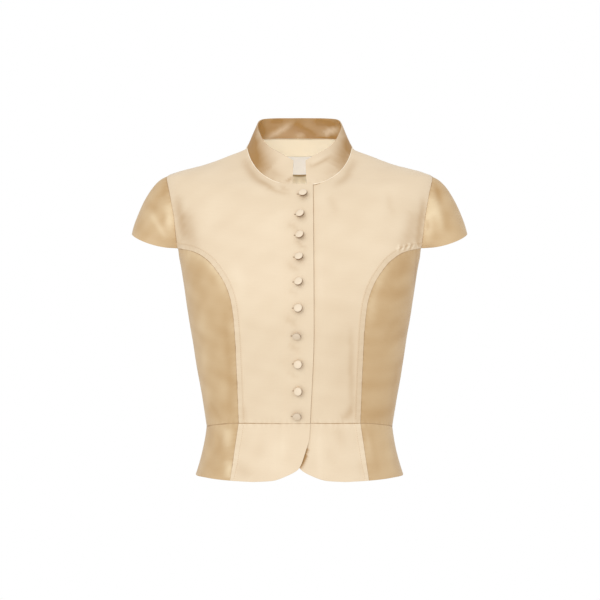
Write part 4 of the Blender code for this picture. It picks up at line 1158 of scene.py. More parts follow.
@dataclass
class Peplum:
    """The flared skirt below the waist seam."""

    flare: Flare
    waists: dict[str, Array]
    shells: dict[str, Shell]
    seam: Array | None = None
    welt_foot: Array | None = None
    back_line: Array | None = None
    corner: tuple[tuple[float, float], ...] = (
        (0.0, 15.0), (0.24, 14.0), (0.48, 8.6), (0.77, -1.0), (0.89, -17.6), (0.974, -38.7), (1.0, -64.8),
    )
    corner_turn: int = 3
    front_seam: tuple[float, float] = (86.0, 98.0)
    back_seam: tuple[float, float] = (74.0, 88.0)
    front_sheet: Sheet = Sheet(0.115, 0.084, 0.0082)
    side_sheet: Sheet = Sheet(0.235, 0.075, 0.0145)
    back_sheet: Sheet = Sheet(0.180, 0.070, 0.0112)
    # Each fold's fourth value paints shade where it is below 0 and a highlight where it is above 0
    front_right_folds: tuple[Fold, ...] = (
        Fold(((-89, -447), (-80, -456), (-66, -460)), 8, 0.6, -0.12),
        Fold(((-53, -400), (-57, -420), (-62, -438)), 9, 0.7, -0.05),
        Fold(((-20, -400), (-26, -430), (-36, -455)), 10, -0.6, 0.05),
    )
    front_left_folds: tuple[Fold, ...] = (
        # The first is a painted shadow under the lapped corner, over a slight trough
        Fold(((10.5, -418), (8, -430), (3.5, -442), (-1, -450)), 2.6, 0.8, -1.2),
        Fold(((53, -393), (57, -406), (61, -420)), 8, 0.6, -0.10),
        Fold(((36, -430), (46, -437), (55, -442)), 8, 0.5, -0.06),
        Fold(((84, -440), (88, -455)), 6, 0.4, -0.06),
        Fold(((24, -402), (30, -425), (34, -450)), 9, -0.6, 0.05),
    )
    side_right_folds: tuple[Fold, ...] = (
        Fold(((-99, -396), (-102, -410), (-103, -424)), 6, -0.6, 0.30),
        Fold(((-101, -440), (-100, -452), (-98, -468)), 6, -0.6, 0.36),
        Fold(((-131, -393), (-128, -425), (-122, -458)), 8, 0.8, -0.08),
        Fold(((-115, -400), (-114, -430)), 5, 0.5, -0.05),
    )
    side_left_folds: tuple[Fold, ...] = (
        Fold(((103, -400), (107, -430), (112, -462)), 6, 0.6, -0.07),
        Fold(((122, -405), (128, -435), (133, -465)), 8, -0.7, 0.06),
        Fold(((96, -400), (99, -430)), 4, 0.0, 0.10),
    )
    back_folds: tuple[Fold, ...] = (
        Fold(((-52, -408), (-58, -436), (-64, -466)), 9, 1.0, -0.10, Face.BACK),
        Fold(((10, -408), (6, -438), (12, -468)), 10, -1.0, 0.06, Face.BACK),
        Fold(((48, -410), (54, -438), (60, -466)), 8, 0.9, -0.09, Face.BACK),
    )

    def build(self) -> None:
        """Builds and dresses the five panels."""
        self.build_fronts()
        self.build_rest()

    def front_grid(self) -> Array:
        """Shares down and azimuths of the front panel at +X, whose front edge turns into the hem."""
        turn = self.flare.cut.figure.azimuth(self.waists["front"])
        rows = self.flare.cut.steps.corner * FINE
        stretch = np.array([80 * MM, 1.0])
        table = np.array(self.corner, float)
        corner = np.column_stack([table[:, 0], -table[:, 1] * MM])
        share = lengths(corner)[self.corner_turn] / lengths(corner)[-1]
        walked = along(corner * stretch, np.linspace(0, 1, 601)) / stretch
        bend = int(round(share * 600))
        edge = walked[np.linspace(0, bend, rows + 1).astype(int)]
        seam_x = (self.front_seam[0] * (1 - even(rows)) + self.front_seam[1] * even(rows)) * MM
        outer = np.column_stack([even(rows), self.flare.azimuth_of(seam_x, even(rows))])
        inner = np.column_stack([edge[:, 0], self.flare.azimuth_of(edge[:, 1], edge[:, 0])])
        outer[0, 1], inner[0, 1] = turn[-1], turn[0]
        top = np.column_stack([0 * turn, turn])
        curve = np.vstack([walked[bend:], [1.0, seam_x[-1]]])
        spread = lengths(self.waists["front"]) / lengths(self.waists["front"])[-1]
        reach = lengths(curve * stretch)
        hem = np.column_stack([np.interp(spread * reach[-1], reach, curve[:, k]) for k in (0, 1)])
        bottom = np.column_stack([hem[:, 0], self.flare.azimuth_of(hem[:, 1], hem[:, 0])])
        bottom[0], bottom[-1] = inner[-1], outer[-1]
        return fill(top, bottom, inner, outer)

    def build_fronts(self) -> None:
        """The two lapped fronts of the peplum, with the welt running on down their seams."""
        cloth = self.flare.cut.cloth
        grid = self.front_grid()
        shape = grid.shape[:2]
        points = self.flare.at(grid[..., 1], grid[..., 0])
        normal = self.flare.outward(grid[..., 1], grid[..., 0])
        cells = net_of(shape)
        share = np.zeros(shape)
        share[:, -2 * FINE - 1 :] = np.concatenate([ramp(even(FINE), 0.0, 1.0), np.ones(FINE)])
        share = share.ravel()
        parted = part_seams(points, cells, normal, cloth.gap / 2)
        square = points.reshape(*shape, 3)
        self.seam = square[:, -1]
        self.welt_foot = square[:, -FINE - 1]
        for side, lift, folds in (
            (Side.RIGHT, cloth.lap_lift, self.front_right_folds),
            (Side.LEFT, -cloth.lap_lift, self.front_left_folds),
        ):
            flip = np.array([side.value, 1, 1])
            relief = Relief(points * flip, folds, seams=(square[0] * flip, square[:, -1] * flip))
            off = lift * cloth.lap_share(-points[:, 0]) - relief.sink(points * flip)
            base = parted + normal * off[:, None]
            raised = base + normal * (cloth.welt_height * share)[:, None]
            node = f"peplum_front_{side.name.lower()}"
            # Painted highlight: the raised welt is painted a little paler
            shade = relief.lustre(points * flip) + 0.03 * (share > 0)
            made = cloth_wall(
                f"{node}_satin", raised, base - normal * cloth.wall, cells, (SATIN, LINING), side,
                (shade, 0 * shade),
            )
            declare(made, node, self.front_sheet)
            self.shells[node] = Shell(relief, lift)

    def build_rest(self) -> None:
        """The side panels and the back of the peplum."""
        flare, cloth = self.flare, self.flare.cut.cloth
        levels = even(flare.cut.steps.hem * FINE)
        front_x = (self.front_seam[0] * (1 - levels) + self.front_seam[1] * levels) * MM
        back_x = (self.back_seam[0] * (1 - levels) + self.back_seam[1] * levels) * MM
        front_seam = flare.azimuth_of(front_x, levels)
        back_seam = flare.azimuth_of(back_x, levels, Face.BACK)
        top = flare.cut.figure.azimuth(self.waists["side"])
        share = (top - top[0]) / (top[-1] - top[0])
        azimuth = front_seam[:, None] * (1 - share) + back_seam[:, None] * share
        azimuth[0] = top
        down = np.repeat(levels[:, None], len(top), axis=1)
        points, normal, cells = flare.at(azimuth, down), flare.outward(azimuth, down), net_of(azimuth.shape)
        square = points.reshape(*azimuth.shape, 3)
        self.back_line = square[:, -1]
        parted = part_seams(points, cells, normal, cloth.gap / 2)
        for side, folds in ((Side.RIGHT, self.side_right_folds), (Side.LEFT, self.side_left_folds)):
            flip = np.array([side.value, 1, 1])
            seams = (square[0] * flip, square[:, 0] * flip, square[:, -1] * flip)
            relief = Relief(points * flip, folds, seams=seams, mottle=0.05)
            base = parted - normal * relief.sink(points * flip)[:, None]
            node = f"peplum_side_{side.name.lower()}"
            shade = relief.lustre(points * flip)
            made = cloth_wall(
                f"{node}_satin", base, base - normal * cloth.wall, cells, (SATIN_CROSS_PAINTED_SHADE, LINING), side,
                (shade, 0 * shade),
            )
            declare(made, node, self.side_sheet)
        top = flare.cut.figure.azimuth(self.waists["back"])
        top = np.concatenate([360 - top[:0:-1], top])
        share = (180 - top) / (180 - top[-1])
        azimuth = 180 + (back_seam - 180)[:, None] * share
        azimuth[0] = top
        half = np.where(azimuth > 180, 360 - azimuth, azimuth)
        down = np.repeat(levels[:, None], len(top), axis=1)
        turned = np.where(azimuth.ravel() > 180, -1.0, 1.0)
        points, normal, cells = flare.at(half, down), flare.outward(half, down), net_of(azimuth.shape)
        points[:, 0] *= turned
        normal[:, 0] *= turned * (np.abs(azimuth.ravel() - 180) > 1e-6)
        square = points.reshape(*azimuth.shape, 3)
        relief = Relief(points, self.back_folds, seams=(square[0], square[:, 0], square[:, -1]))
        base = part_seams(points, cells, normal, cloth.gap / 2) - normal * relief.sink(points)[:, None]
        shade = relief.lustre(points)
        made = cloth_wall(
            "peplum_back_satin", base, base - normal * cloth.wall, cells, (SATIN, LINING), Side.LEFT,
            (shade, 0 * shade),
        )
        declare(made, "peplum_back", self.back_sheet)


@dataclass
class Collar:
    """The stand collar, one strip of doubled satin round the neck, in millimetres."""

    cut: Cut
    lines: dict[str, Array]
    top: tuple[tuple[float, float, float], ...] = (
        (8.6, -54, -17.8), (26.8, -50, -7.5), (41.4, -41, 0.7), (52.5, -29, 11.6), (58.2, -17, 22.6),
        (61.3, -3, 31.8), (59.0, 13, 38.4), (52.6, 23.5, 41.6), (30.0, 32, 43.0), (0.0, 35, 43.2),
    )
    folds: tuple[Fold, ...] = (
        # The first four paint shade on the collar's sides, where they turn from the light; each fold's fourth
        # value paints shade below 0 and a highlight above 0
        Fold(((-62, 32), (-68, 8), (-64, -12), (-56, -32), (-48, -46)), 21, 0.3, -0.80),
        Fold(((62, 32), (68, 8), (64, -12), (54, -36)), 19, 0.3, -0.62),
        Fold(((-64, 40), (-68, 14), (-76, -14)), 15, 0.0, -0.60, Face.BACK),
        Fold(((64, 40), (68, 14), (76, -14)), 13, 0.0, -0.42, Face.BACK),
        Fold(((-19, -49), (-14, -45), (-10, -41)), 2.0, 0.9, -0.34),
        Fold(((14, -26), (29, -22), (43, -14)), 2.6, 0.9, -0.26),
        Fold(((18, -20), (32, -15), (46, -7)), 3.0, -0.6, 0.08),
        Fold(((-45, -29), (-34, -36), (-22, -42)), 4.0, 0.5, -0.07),
    )
    inner_folds: tuple[Fold, ...] = (
        # Painted shade and highlights inside the collar, with slight troughs and ridges
        Fold(((-51, 13), (-31, 24), (-10, 37)), 4.0, 0.8, 0.22, Face.BACK),
        Fold(((-62, 36), (-57, 26), (-54, 16)), 5.0, 0.6, -0.16, Face.BACK),
        Fold(((-12, 35), (5, 27), (22, 14)), 5.0, 0.8, -0.14, Face.BACK),
        Fold(((36, 19), (46, 25), (56, 27)), 5.0, -0.8, 0.34, Face.BACK),
        Fold(((22, 39), (38, 37), (54, 33)), 4.0, 0.5, -0.16, Face.BACK),
        Fold(((26, 14), (40, 14), (56, 15)), 2.5, 0.4, -0.20, Face.BACK),
        Fold(((-44, 38), (-24, 40)), 3.5, 0.4, -0.12, Face.BACK),
        Fold(((-6, 15), (10, 21)), 4.0, -0.5, 0.12, Face.BACK),
    )
    # How far the collar's inside is painted towards the gold ground, as shade
    inner_painted_shade: float = -0.70
    seam: Array | None = None
    sheet: Sheet = Sheet(0.365, 0.036, 0.0125, Hold.STRETCHED)

    def build(self) -> None:
        """A ruled strip between the neckline and the top edge, thick on its inner side."""
        cloth = self.cut.cloth
        lower = np.vstack([self.lines["front_neck"], self.lines["back_neck"][::-1][1:]])
        upper = along(np.array(self.top, float) * MM, lengths(lower) / lengths(lower)[-1])
        share = even(self.cut.steps.collar * FINE)[:, None, None]
        half = lower[None] * (1 - share) + upper[None] * share
        grid = np.concatenate([half, mirrored(half)[:, 1:]], axis=1)[::-1]
        points, cells = grid.reshape(-1, 3), net_of(grid.shape)
        normal = net_normals(points, cells)
        if normal[len(normal) // 2 + grid.shape[1] // 2, 1] < 0:
            normal = -normal
        up = unit(grid[-2] - grid[-1])
        gap = cloth.collar_gap * (1 + cloth.lap_share(-np.abs(grid[-1, :, :1])))
        grid[-1] += up * gap
        points = grid.reshape(-1, 3)
        self.seam = grid[-1]
        outer = Relief(points, self.folds, amount=0.15 * MM, span=40 * MM, seams=(grid[-1],), reach=4 * MM)
        inner = Relief(points, self.inner_folds, amount=0.15 * MM, span=40 * MM)
        base = points - normal * outer.sink(points)[:, None]
        under = points - normal * (cloth.collar_wall + inner.sink(points).clip(-0.9 * MM, 0.9 * MM))[:, None]
        # Painted shade: the outside a touch darker, and the inside much darker, plus its folds' painted sheen
        # and shade
        shade = outer.lustre(points) - 0.02
        made = cloth_wall(
            "collar_satin", base, under, cells, (SATIN, SATIN), Side.LEFT,
            (shade, 1.7 * inner.lustre(points) + self.inner_painted_shade),
        )
        declare(made, "collar", self.sheet)


@dataclass
class CapSleeves:
    """The two cap sleeves, each a curved sheet from the armhole out to its hem, in millimetres."""

    cut: Cut
    lines: dict[str, Array]
    hem_top: tuple[float, float, float] = (244.5, -4.0, -124.0)
    bulge: float = 12.0
    sag: float = 1.7
    head: tuple[float, float, float] = (0.28, 0.10, -0.09)
    end_length: float = 7.0
    tip_curl: float = 2.4  # how far the hem's outermost corner curls in
    # Each fold's fourth value paints shade where it is below 0 and a highlight where it is above 0
    right_folds: tuple[Fold, ...] = (
        Fold(((-190, -42), (-192, -55), (-196, -72)), 6, 0.6, -0.16),
        Fold(((-186, -78), (-184, -100), (-183, -124)), 7, -0.6, 0.34),
        Fold(((-214, -90), (-201, -111), (-189, -130)), 5, -0.7, 0.26),
        Fold(((-198, -66), (-206, -80), (-214, -93)), 6, 0.8, -0.10),
        Fold(((-231, -100), (-225, -114), (-218, -128)), 9, 0.6, -0.06),
        Fold(((-192, -92), (-196, -108)), 4, 0.5, -0.10),
    )
    left_folds: tuple[Fold, ...] = (
        Fold(((188, -66), (185, -95), (181, -134)), 7.5, -0.5, 0.40),
        Fold(((192, -76), (197, -95), (201, -118)), 6, -0.7, 0.28),
        Fold(((194, -48), (198, -62), (203, -80)), 5, 0.8, -0.18),
        Fold(((182, -103), (183, -110), (183, -118)), 2.6, 0.5, -0.26),
        Fold(((222, -78), (230, -98), (234, -116)), 9, 0.6, -0.04),
        Fold(((205, -84), (210, -100), (213, -122)), 6, 0.5, -0.08),
    )
    seam: Array | None = None
    sheet: Sheet = Sheet(0.215, 0.100, 0.0142)

    def build(self) -> None:
        """A quadratic curve from each point of the armhole to the hem, pulled out at the head."""
        cloth = self.cut.cloth
        root = np.vstack([self.lines["front_armhole"][::-1], self.lines["back_armhole"][1:]])
        ahead = np.array([self.end_length * MM, 0.0, 0.0])
        walked = lengths(root)
        middle = walked[(self.cut.steps.armhole - 1) * FINE + 1]
        behind = (walked - middle) / (walked[-1] - middle)
        angle = np.where(walked < middle, walked / middle - 1, behind) * math.pi / 2
        hem = self.hem(angle, root[0] + ahead, root[-1] + ahead)
        reach = np.linalg.norm(hem - root, axis=1, keepdims=True)
        out, around, down = self.head
        level = np.ones(len(angle))
        pull = reach * np.column_stack([out * level, around * np.sin(angle), down * level])
        share = even(self.cut.steps.sleeve * FINE)[:, None, None]
        grid = (1 - share) ** 2 * root + 2 * share * (1 - share) * (root + pull) + share**2 * hem
        curl = self.tip_curl * MM * share**12 * np.cos(angle)[None, :, None] ** 8
        grid = grid - curl * np.array([1.0, 0.0, 0.1])
        points, cells = grid.reshape(-1, 3), net_of(grid.shape)
        normal = net_normals(points, cells)
        if (normal[:, 0] + normal[:, 2]).sum() < 0:
            normal = -normal
        grid[0] += unit(grid[1] - grid[0]) * cloth.gap
        points = grid.reshape(-1, 3)
        self.seam = grid[0]
        for side, folds in ((Side.RIGHT, self.right_folds), (Side.LEFT, self.left_folds)):
            flip = np.array([side.value, 1, 1])
            relief = Relief(points * flip, folds, seams=(grid[0] * flip,), span=45 * MM, mottle=0.05)
            base = points - normal * relief.sink(points * flip)[:, None]
            node = f"sleeve_{side.name.lower()}"
            # Painted light: the sleeves are painted a touch paler all over
            shade = relief.lustre(points * flip) + 0.02
            made = cloth_wall(
                f"{node}_satin", base, base - normal * cloth.wall, cells, (SATIN_CROSS_PAINTED_SHADE, LINING), side,
                (shade, 0 * shade),
            )
            declare(made, node, self.sheet)

    def hem(self, angle: Array, front_end: Array, back_end: Array) -> Array:
        """The hem from its front end (-90 degrees) over the top to its back end.

        x goes as cos, y as sin with a bulge of sin(2 angle), and the height as cos to a power, so that it
        hangs in a curve.
        """
        top = np.array(self.hem_top) * MM
        end = np.where(angle[:, None] < 0, front_end, back_end)
        high = np.clip(np.cos(angle), 0, 1)
        x = end[:, 0] + (top[0] - end[:, 0]) * high
        y = top[1] * high + end[:, 1] * np.abs(np.sin(angle))
        y += np.sign(angle) * self.bulge * MM * np.abs(np.sin(2 * angle))
        return np.column_stack([x, y, end[:, 2] + (top[2] - end[:, 2]) * high**self.sag])


@dataclass
class NeckLining:
    """The lining inside the back neck and the blank label on it."""

    cut: Cut
    upper_back: Array
    rows: int = 7
    shoulder_steps: int = 3
    draw: float = 1.0
    label_width: float = 40.0
    label_heights: tuple[float, float] = (-12.0, -39.0)
    lining_sheet: Sheet = Sheet(0.275, 0.140, 0.0345)
    label_sheet: Sheet = Sheet(0.0405, 0.0285, 0.00113, Hold.LAID)
    folds: tuple[Fold, ...] = (
        # Painted shadow: a thin dark line under the label's lower edge and a broader band below it, and
        # painted shade towards the sides
        Fold(((-30, -40), (0, -40.5), (30, -40)), 1.8, 0.0, -1.1, Face.BACK),
        Fold(((-40, -44), (0, -45), (40, -44)), 6, 0.0, -0.55, Face.BACK),
        Fold(((-58, -10), (-52, -26), (-40, -36)), 7, 0.0, -0.16, Face.BACK),
        Fold(((58, -10), (52, -26), (40, -36)), 7, 0.0, -0.16, Face.BACK),
    )

    def build(self) -> None:
        """Both sheets lie on the back's own grid, each moved further in."""
        cloth = self.cut.cloth
        middle = self.upper_back.shape[1] // 2
        reach = (self.cut.steps.neck + self.shoulder_steps) * FINE
        grid = self.upper_back[: self.rows * FINE + 1, middle - reach : middle + reach + 1]
        shape, cells = grid.shape, net_of(grid.shape)
        normal = self.cut.figure.outward(grid).reshape(-1, 3)
        points = part_seams(grid.reshape(-1, 3), cells, normal, self.draw * MM)
        depth = cloth.wall + 0.3 * MM
        relief = Relief(points, self.folds, amount=0.0, mottle=0.02)
        shade = relief.lustre(points)
        made = cloth_wall(
            "back_neck_lining", points - normal * depth, points - normal * (depth + cloth.lining), cells,
            (LINING, LINING), Side.LEFT, (shade, shade),
        )
        declare(made, "back_lining", self.lining_sheet)
        depth += cloth.lining + 0.3 * MM
        place = points.reshape(shape)
        heights = np.array(self.label_heights) * -MM
        top, foot = np.interp(heights, -place[:, reach, 2], np.arange(shape[0]))
        side = np.interp(self.label_width / 2 * MM, place[FINE, reach:, 0], np.arange(reach + 1))
        rows, columns = np.linspace(top, foot, 25), np.linspace(reach - side, reach + side, 37)
        inward = normal.reshape(shape)
        face, under = (self.sample(place - inward * d, rows, columns) for d in (depth, depth + cloth.label))
        made = cloth_wall(
            "label_tape", face.reshape(-1, 3), under.reshape(-1, 3), net_of(face.shape), (LABEL, LABEL),
            Side.LEFT,
        )
        declare(made, "label", self.label_sheet)

    def sample(self, grid: Array, rows: Array, columns: Array) -> Array:
        """Points of a grid's cells at rows and columns between its lines, by straight blends both ways."""
        r = np.clip(np.floor(rows).astype(int), 0, grid.shape[0] - 2)
        c = np.clip(np.floor(columns).astype(int), 0, grid.shape[1] - 2)
        down, across = (rows - r)[:, None, None], (columns - c)[None, :, None]
        upper = grid[r][:, c] * (1 - across) + grid[r][:, c + 1] * across
        lower = grid[r + 1][:, c] * (1 - across) + grid[r + 1][:, c + 1] * across
        return upper * (1 - down) + lower * down


@dataclass
class CoveredButtons:
    """Ten satin-covered shank buttons down the centre front, in millimetres and degrees."""

    cut: Cut
    table: tuple[tuple[float, float, float, float], ...] = (
        (4.4, -64, -8, -8), (1.0, -92, -9, -15), (0.4, -121, -9, -15), (-0.7, -151, -10, -13),
        (-1.4, -185, -11, -12), (-2.1, -221, -13, -8), (-3.9, -260, 15, -3), (-2.2, -300, -12, -9),
        (-1.8, -339, -9, -12), (-3.8, -376, 13, 0),
    )
    clearance: float = 0.7
    lean: float = 1.75  # how much further than its solid a button leans on its thread shank
    lift: float = 0.9  # and how far it stands off for that
    hang: tuple[float, float] = (0.9, -2.4)  # what the covered shell's weight moves it, across and up
    sides: int = 48
    profile: tuple[tuple[float, float], ...] = (
        (0, 0), (1.6, 0), (1.6, 1.5), (5.5, 1.9), (6.5, 3.0), (5.9, 4.3), (3.6, 5.3), (0, 5.6),
    )

    def build(self) -> None:
        """Builds each button where its solid is."""
        for number, (x, height, droop, turn) in enumerate(self.table, start=1):
            self.button(number, x, height, droop, turn)

    def turned(self, number: int) -> tuple[Array, Array]:
        """A button about +Z: the profile turned round, with the cover gathered in under its rim.

        The radius is the profile's, less 0.07 mm times cos(16 angle) on the underside and the rim.
        """
        knots = np.array(self.profile, float)
        walked = lengths(knots)
        at = np.linspace(0, walked[-1], 34)
        radius, height = (np.interp(at, walked, knots[:, k]) for k in (0, 1))
        for _ in range(2):
            radius[5:-1] = (radius[4:-2] + 2 * radius[5:-1] + radius[6:]) / 4
            height[5:-1] = (height[4:-2] + 2 * height[5:-1] + height[6:]) / 4
        angle = np.linspace(0, 2 * np.pi, self.sides, endpoint=False)
        under = ramp(3.2 - height, 0.0, 1.6) * ramp(radius, 1.8, 4.0)
        wide = radius[:, None] - 0.07 * under[:, None] * np.cos(16 * angle + number)
        level = np.repeat(height[:, None], self.sides, 1)
        turned = np.stack([wide * np.cos(angle), wide * np.sin(angle), level], -1)
        return turned[1:-1] * MM, np.array([[0, 0, height[0]], [0, 0, height[-1]]]) * MM

    def button(self, number: int, x: float, height: float, droop: float, turn: float) -> None:
        """Faces one button off the cloth, tips it by its droop and its turn and sets it on the front."""
        cloth = self.cut.cloth
        across, up = self.hang if droop < 0 else (0.0, 0.0)
        foot = self.cut.figure.seen(np.array([(x + across) * MM]), np.array([(height + up) * MM]), Face.FRONT)
        normal = self.cut.figure.outward(foot)[0]
        place = foot[0] + normal * (cloth.lap_lift + (self.clearance + self.lift) * MM)
        level = unit(np.cross([0.0, 0.0, 1.0], normal))
        facing = np.column_stack([level, np.cross(normal, level), normal])
        a, b = math.radians(self.lean * droop), math.radians(self.lean * turn)
        tip = np.array([[1, 0, 0], [0, math.cos(a), -math.sin(a)], [0, math.sin(a), math.cos(a)]])
        swing = np.array([[math.cos(b), -math.sin(b), 0], [math.sin(b), math.cos(b), 0], [0, 0, 1]])
        rings, poles = self.turned(number)
        rows = len(rings)
        local = np.vstack([rings.reshape(-1, 3), poles])
        out = np.maximum(1e-6, np.hypot(local[:, 0], local[:, 1]))
        below = (local[:, 0] - local[:, 1]) / out / math.sqrt(2)
        # Painted shade: the side wall and underside are darker, most at the lower right, away from the key
        # light, and a button that tips down is painted darker all over
        shade = -(0.22 + 0.72 * ramp(below, -0.3, 0.7)) * (1 - ramp(local[:, 2], 3.6 * MM, 4.7 * MM))
        shade -= 0.16 if droop > 0 else 0.0
        points = local @ (swing @ tip @ facing).T + place
        index = np.arange(rows * self.sides).reshape(rows, self.sides)
        ahead = np.roll(index, -1, axis=1)
        cells = np.stack([index[:-1], ahead[:-1], ahead[1:], index[1:]], axis=-1).reshape(-1, 4)
        caps = [np.column_stack([np.full(self.sides, rows * self.sides), ahead[0], index[0]]),
                np.column_stack([np.full(self.sides, rows * self.sides + 1), index[-1], ahead[-1]])]
        faces = cells.tolist() + caps[0].tolist() + caps[1].tolist()
        node = f"button_{number:02d}"
        made = add_piece(f"{node}_covered", points, faces, [BUTTON_SATIN], lustre=shade)
        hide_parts(node)


def tubes(
    name: str, paths: list[Array], outward: list[Array], radii: list[Array], finish: Any, sides: int = 6
) -> bpy.types.Object:
    """One piece made of round threads, each along its own path and closed at its ends.

    A point is the path's, plus radius times (cos(angle) times the cloth's normal plus sin(angle) times
    the direction square to it and to the path).

    Args:
        name: The object's name.
        paths: The middle of each thread.
        outward: The cloth's normal along each path.
        radii: The radius at each point of each path.
        finish: The finish of them all.
        sides: The number of sides of each thread.

    Returns:
        The object.
    """
    angle = np.linspace(0, 2 * np.pi, sides, endpoint=False)
    points, faces, start = [], [], 0
    for path, normal, radius in zip(paths, outward, radii):
        across = unit(np.cross(np.gradient(path, axis=0), normal))
        ring = np.cos(angle)[None, :, None] * normal[:, None] + np.sin(angle)[None, :, None] * across[:, None]
        points.append((path[:, None] + ring * radius[:, None, None]).reshape(-1, 3))
        index = np.arange(len(path) * sides).reshape(len(path), sides) + start
        ahead = np.roll(index, -1, axis=1)
        faces += np.stack([index[:-1], index[1:], ahead[1:], ahead[:-1]], axis=-1).reshape(-1, 4).tolist()
        faces += [index[0].tolist(), index[-1][::-1].tolist()]
        start += len(path) * sides
    return add_piece(name, np.concatenate(points), faces, [finish])


@dataclass
class Sewing:
    """The sewing: painted shadow lines in the seams and at the lap edge, the neck's rolled edge with a
    painted highlight and a painted shadow line, topstitching, and buttonhole rims painted with the slits'
    shade.
    """

    cut: Cut
    bodice: Bodice
    peplum: Peplum
    collar: Collar
    sleeves: CapSleeves
    buttons: CoveredButtons
    seam_radius: float = 0.5 * MM
    roll_radius: float = 0.85 * MM
    stitch_pitch: float = 3.0 * MM
    stitch_length: float = 2.1 * MM
    stitch_radius: float = 0.24 * MM
    topstitch_off: float = 7.2 * MM
    hole_length: float = 13.5 * MM
    hole_width: float = 0.9 * MM

    def build(self) -> None:
        """Adds each kind of sewing."""
        self.build_seams()
        self.build_roll()
        self.build_lap_edge()
        self.build_topstitches()
        self.build_buttonholes()

    def sunk(
        self, line: Array, side: Side, node: str, depth: Array, flare: bool = False
    ) -> tuple[Array, Array]:
        """A line laid on the built cloth and its normals there.

        Args:
            line: Points of the shared seam at +X.
            side: The side that it is on.
            node: The panel whose folds it follows.
            depth: How far below the panel's face it lies, in metres, or above it below 0.
            flare: Whether it lies on the peplum.

        Returns:
            The points and the normals.
        """
        flip = np.array([side.value, 1, 1])
        shell, cloth = self.bodice.shells[node], self.cut.cloth
        normal = self.flare_normals(line) if flare else self.cut.figure.outward(line)
        off = shell.lift * cloth.lap_share(-line[:, 0]) - shell.relief.sink(line * flip) - depth
        return (line + normal * off[:, None]) * flip, normal * flip

    def flare_normals(self, line: Array) -> Array:
        """Normals of the peplum at points of it, from their angle about its middle."""
        away = line * np.array([1.0, 1.0, 0.0]) - np.array([0.0, self.peplum.flare.centre * MM, 0.0])
        return unit(unit(away) + np.array([0.0, 0.0, 0.12]))

    def build_seams(self) -> None:
        """A painted shadow where two panels' turned edges meet: a thin dark tube of uneven width."""
        lines, waists = self.bodice.lines, self.bodice.waists
        plan = {
            "front_princess": (lines["front_princess"], "front", -0.25 * MM, False),
            "front_armhole": (lines["front_armhole"], "front", 0.15 * MM, False),
            "back_princess": (lines["back_princess"], "back", 0.25 * MM, False),
            "back_armhole": (lines["back_armhole"], "back", 0.25 * MM, False),
            "shoulder": (lines["shoulder"], "back", 0.48 * MM, False),
            "waist_front": (waists["front"], "front", 0.10 * MM, False),
            "waist_side": (waists["side"], "back", 0.15 * MM, False),
            "waist_back": (waists["back"], "back", 0.15 * MM, False),
            "peplum_front_seam": (self.peplum.seam, "peplum_front", -0.25 * MM, True),
            "peplum_back_seam": (self.peplum.back_line, "back", 0.25 * MM, True),
        }
        for name, (line, node, depth, flare) in plan.items():
            paths, normals, radii = [], [], []
            for side in Side:
                panel = node if node == "back" else f"{node}_{side.name.lower()}"
                dense = along(line, even(max(24, int(lengths(line)[-1] / (1.6 * MM)))))
                left = lengths(dense)[-1] - lengths(dense)
                over = 0.75 * MM * (1 - ramp(left, 8.0 * MM, 9.5 * MM)) if name == "waist_front" else 0 * left
                path, normal = self.sunk(dense, side, panel, depth - over, flare)
                paths.append(path)
                normals.append(normal)
                radii.append(self.seam_radius * (1 + 0.25 * ease(path, 1.0, 14 * MM)))
            made = tubes(f"seam_{name}", paths, normals, radii, SEAM_SHADOW)
            log.info("%s: sewn", made.name)

    def build_roll(self) -> None:
        """The collar's lower edge, rolled over the neck seam: a thin tube painted pale as a highlight, with a
        dark tube under it as a painted shadow line.
        """
        line = along(self.collar.seam, even(220))
        normal = self.cut.figure.outward(line)
        wide = self.roll_radius * (1 + 0.15 * ease(line, 1.0, 18 * MM))
        taper = np.sin(np.pi * np.linspace(0.02, 0.98, len(line))) ** 0.25
        made = tubes("neck_seam_roll", [line + normal * 0.15 * MM], [normal], [wide * taper], ROLLED_PAINTED_HIGHLIGHT, sides=8)
        low = line - np.array([0.0, 0.0, 0.9 * MM]) - normal * 0.1 * MM
        made = tubes("neck_seam_well", [low], [normal], [0.5 * self.seam_radius * taper * 2], SEAM_SHADOW)

    def build_lap_edge(self) -> None:
        """A painted shadow line at the turned edge of the lapped front: a thin dark tube sunk between it and
        the front below.
        """
        cut = self.cut
        edge = np.array(cut.lap_edge, float)[::-1] * MM
        heights = np.linspace(cut.lap_height[0], cut.lap_height[1], 200) * MM
        x = smooth(edge[:, 1], edge[:, 0], heights) + 0.25 * MM
        line = cut.figure.seen(x, heights, Face.FRONT)
        normal = cut.figure.outward(line)
        shell = self.bodice.shells["front_left"]
        path = line - normal * (cut.cloth.lap_lift + shell.relief.sink(line) - 0.1 * MM)[:, None]
        wide = 0.75 * self.seam_radius * (1 + 0.3 * ease(line, 1.0, 30 * MM))
        made = tubes("front_edge_line", [path], [normal], [wide], SEAM_SHADOW)

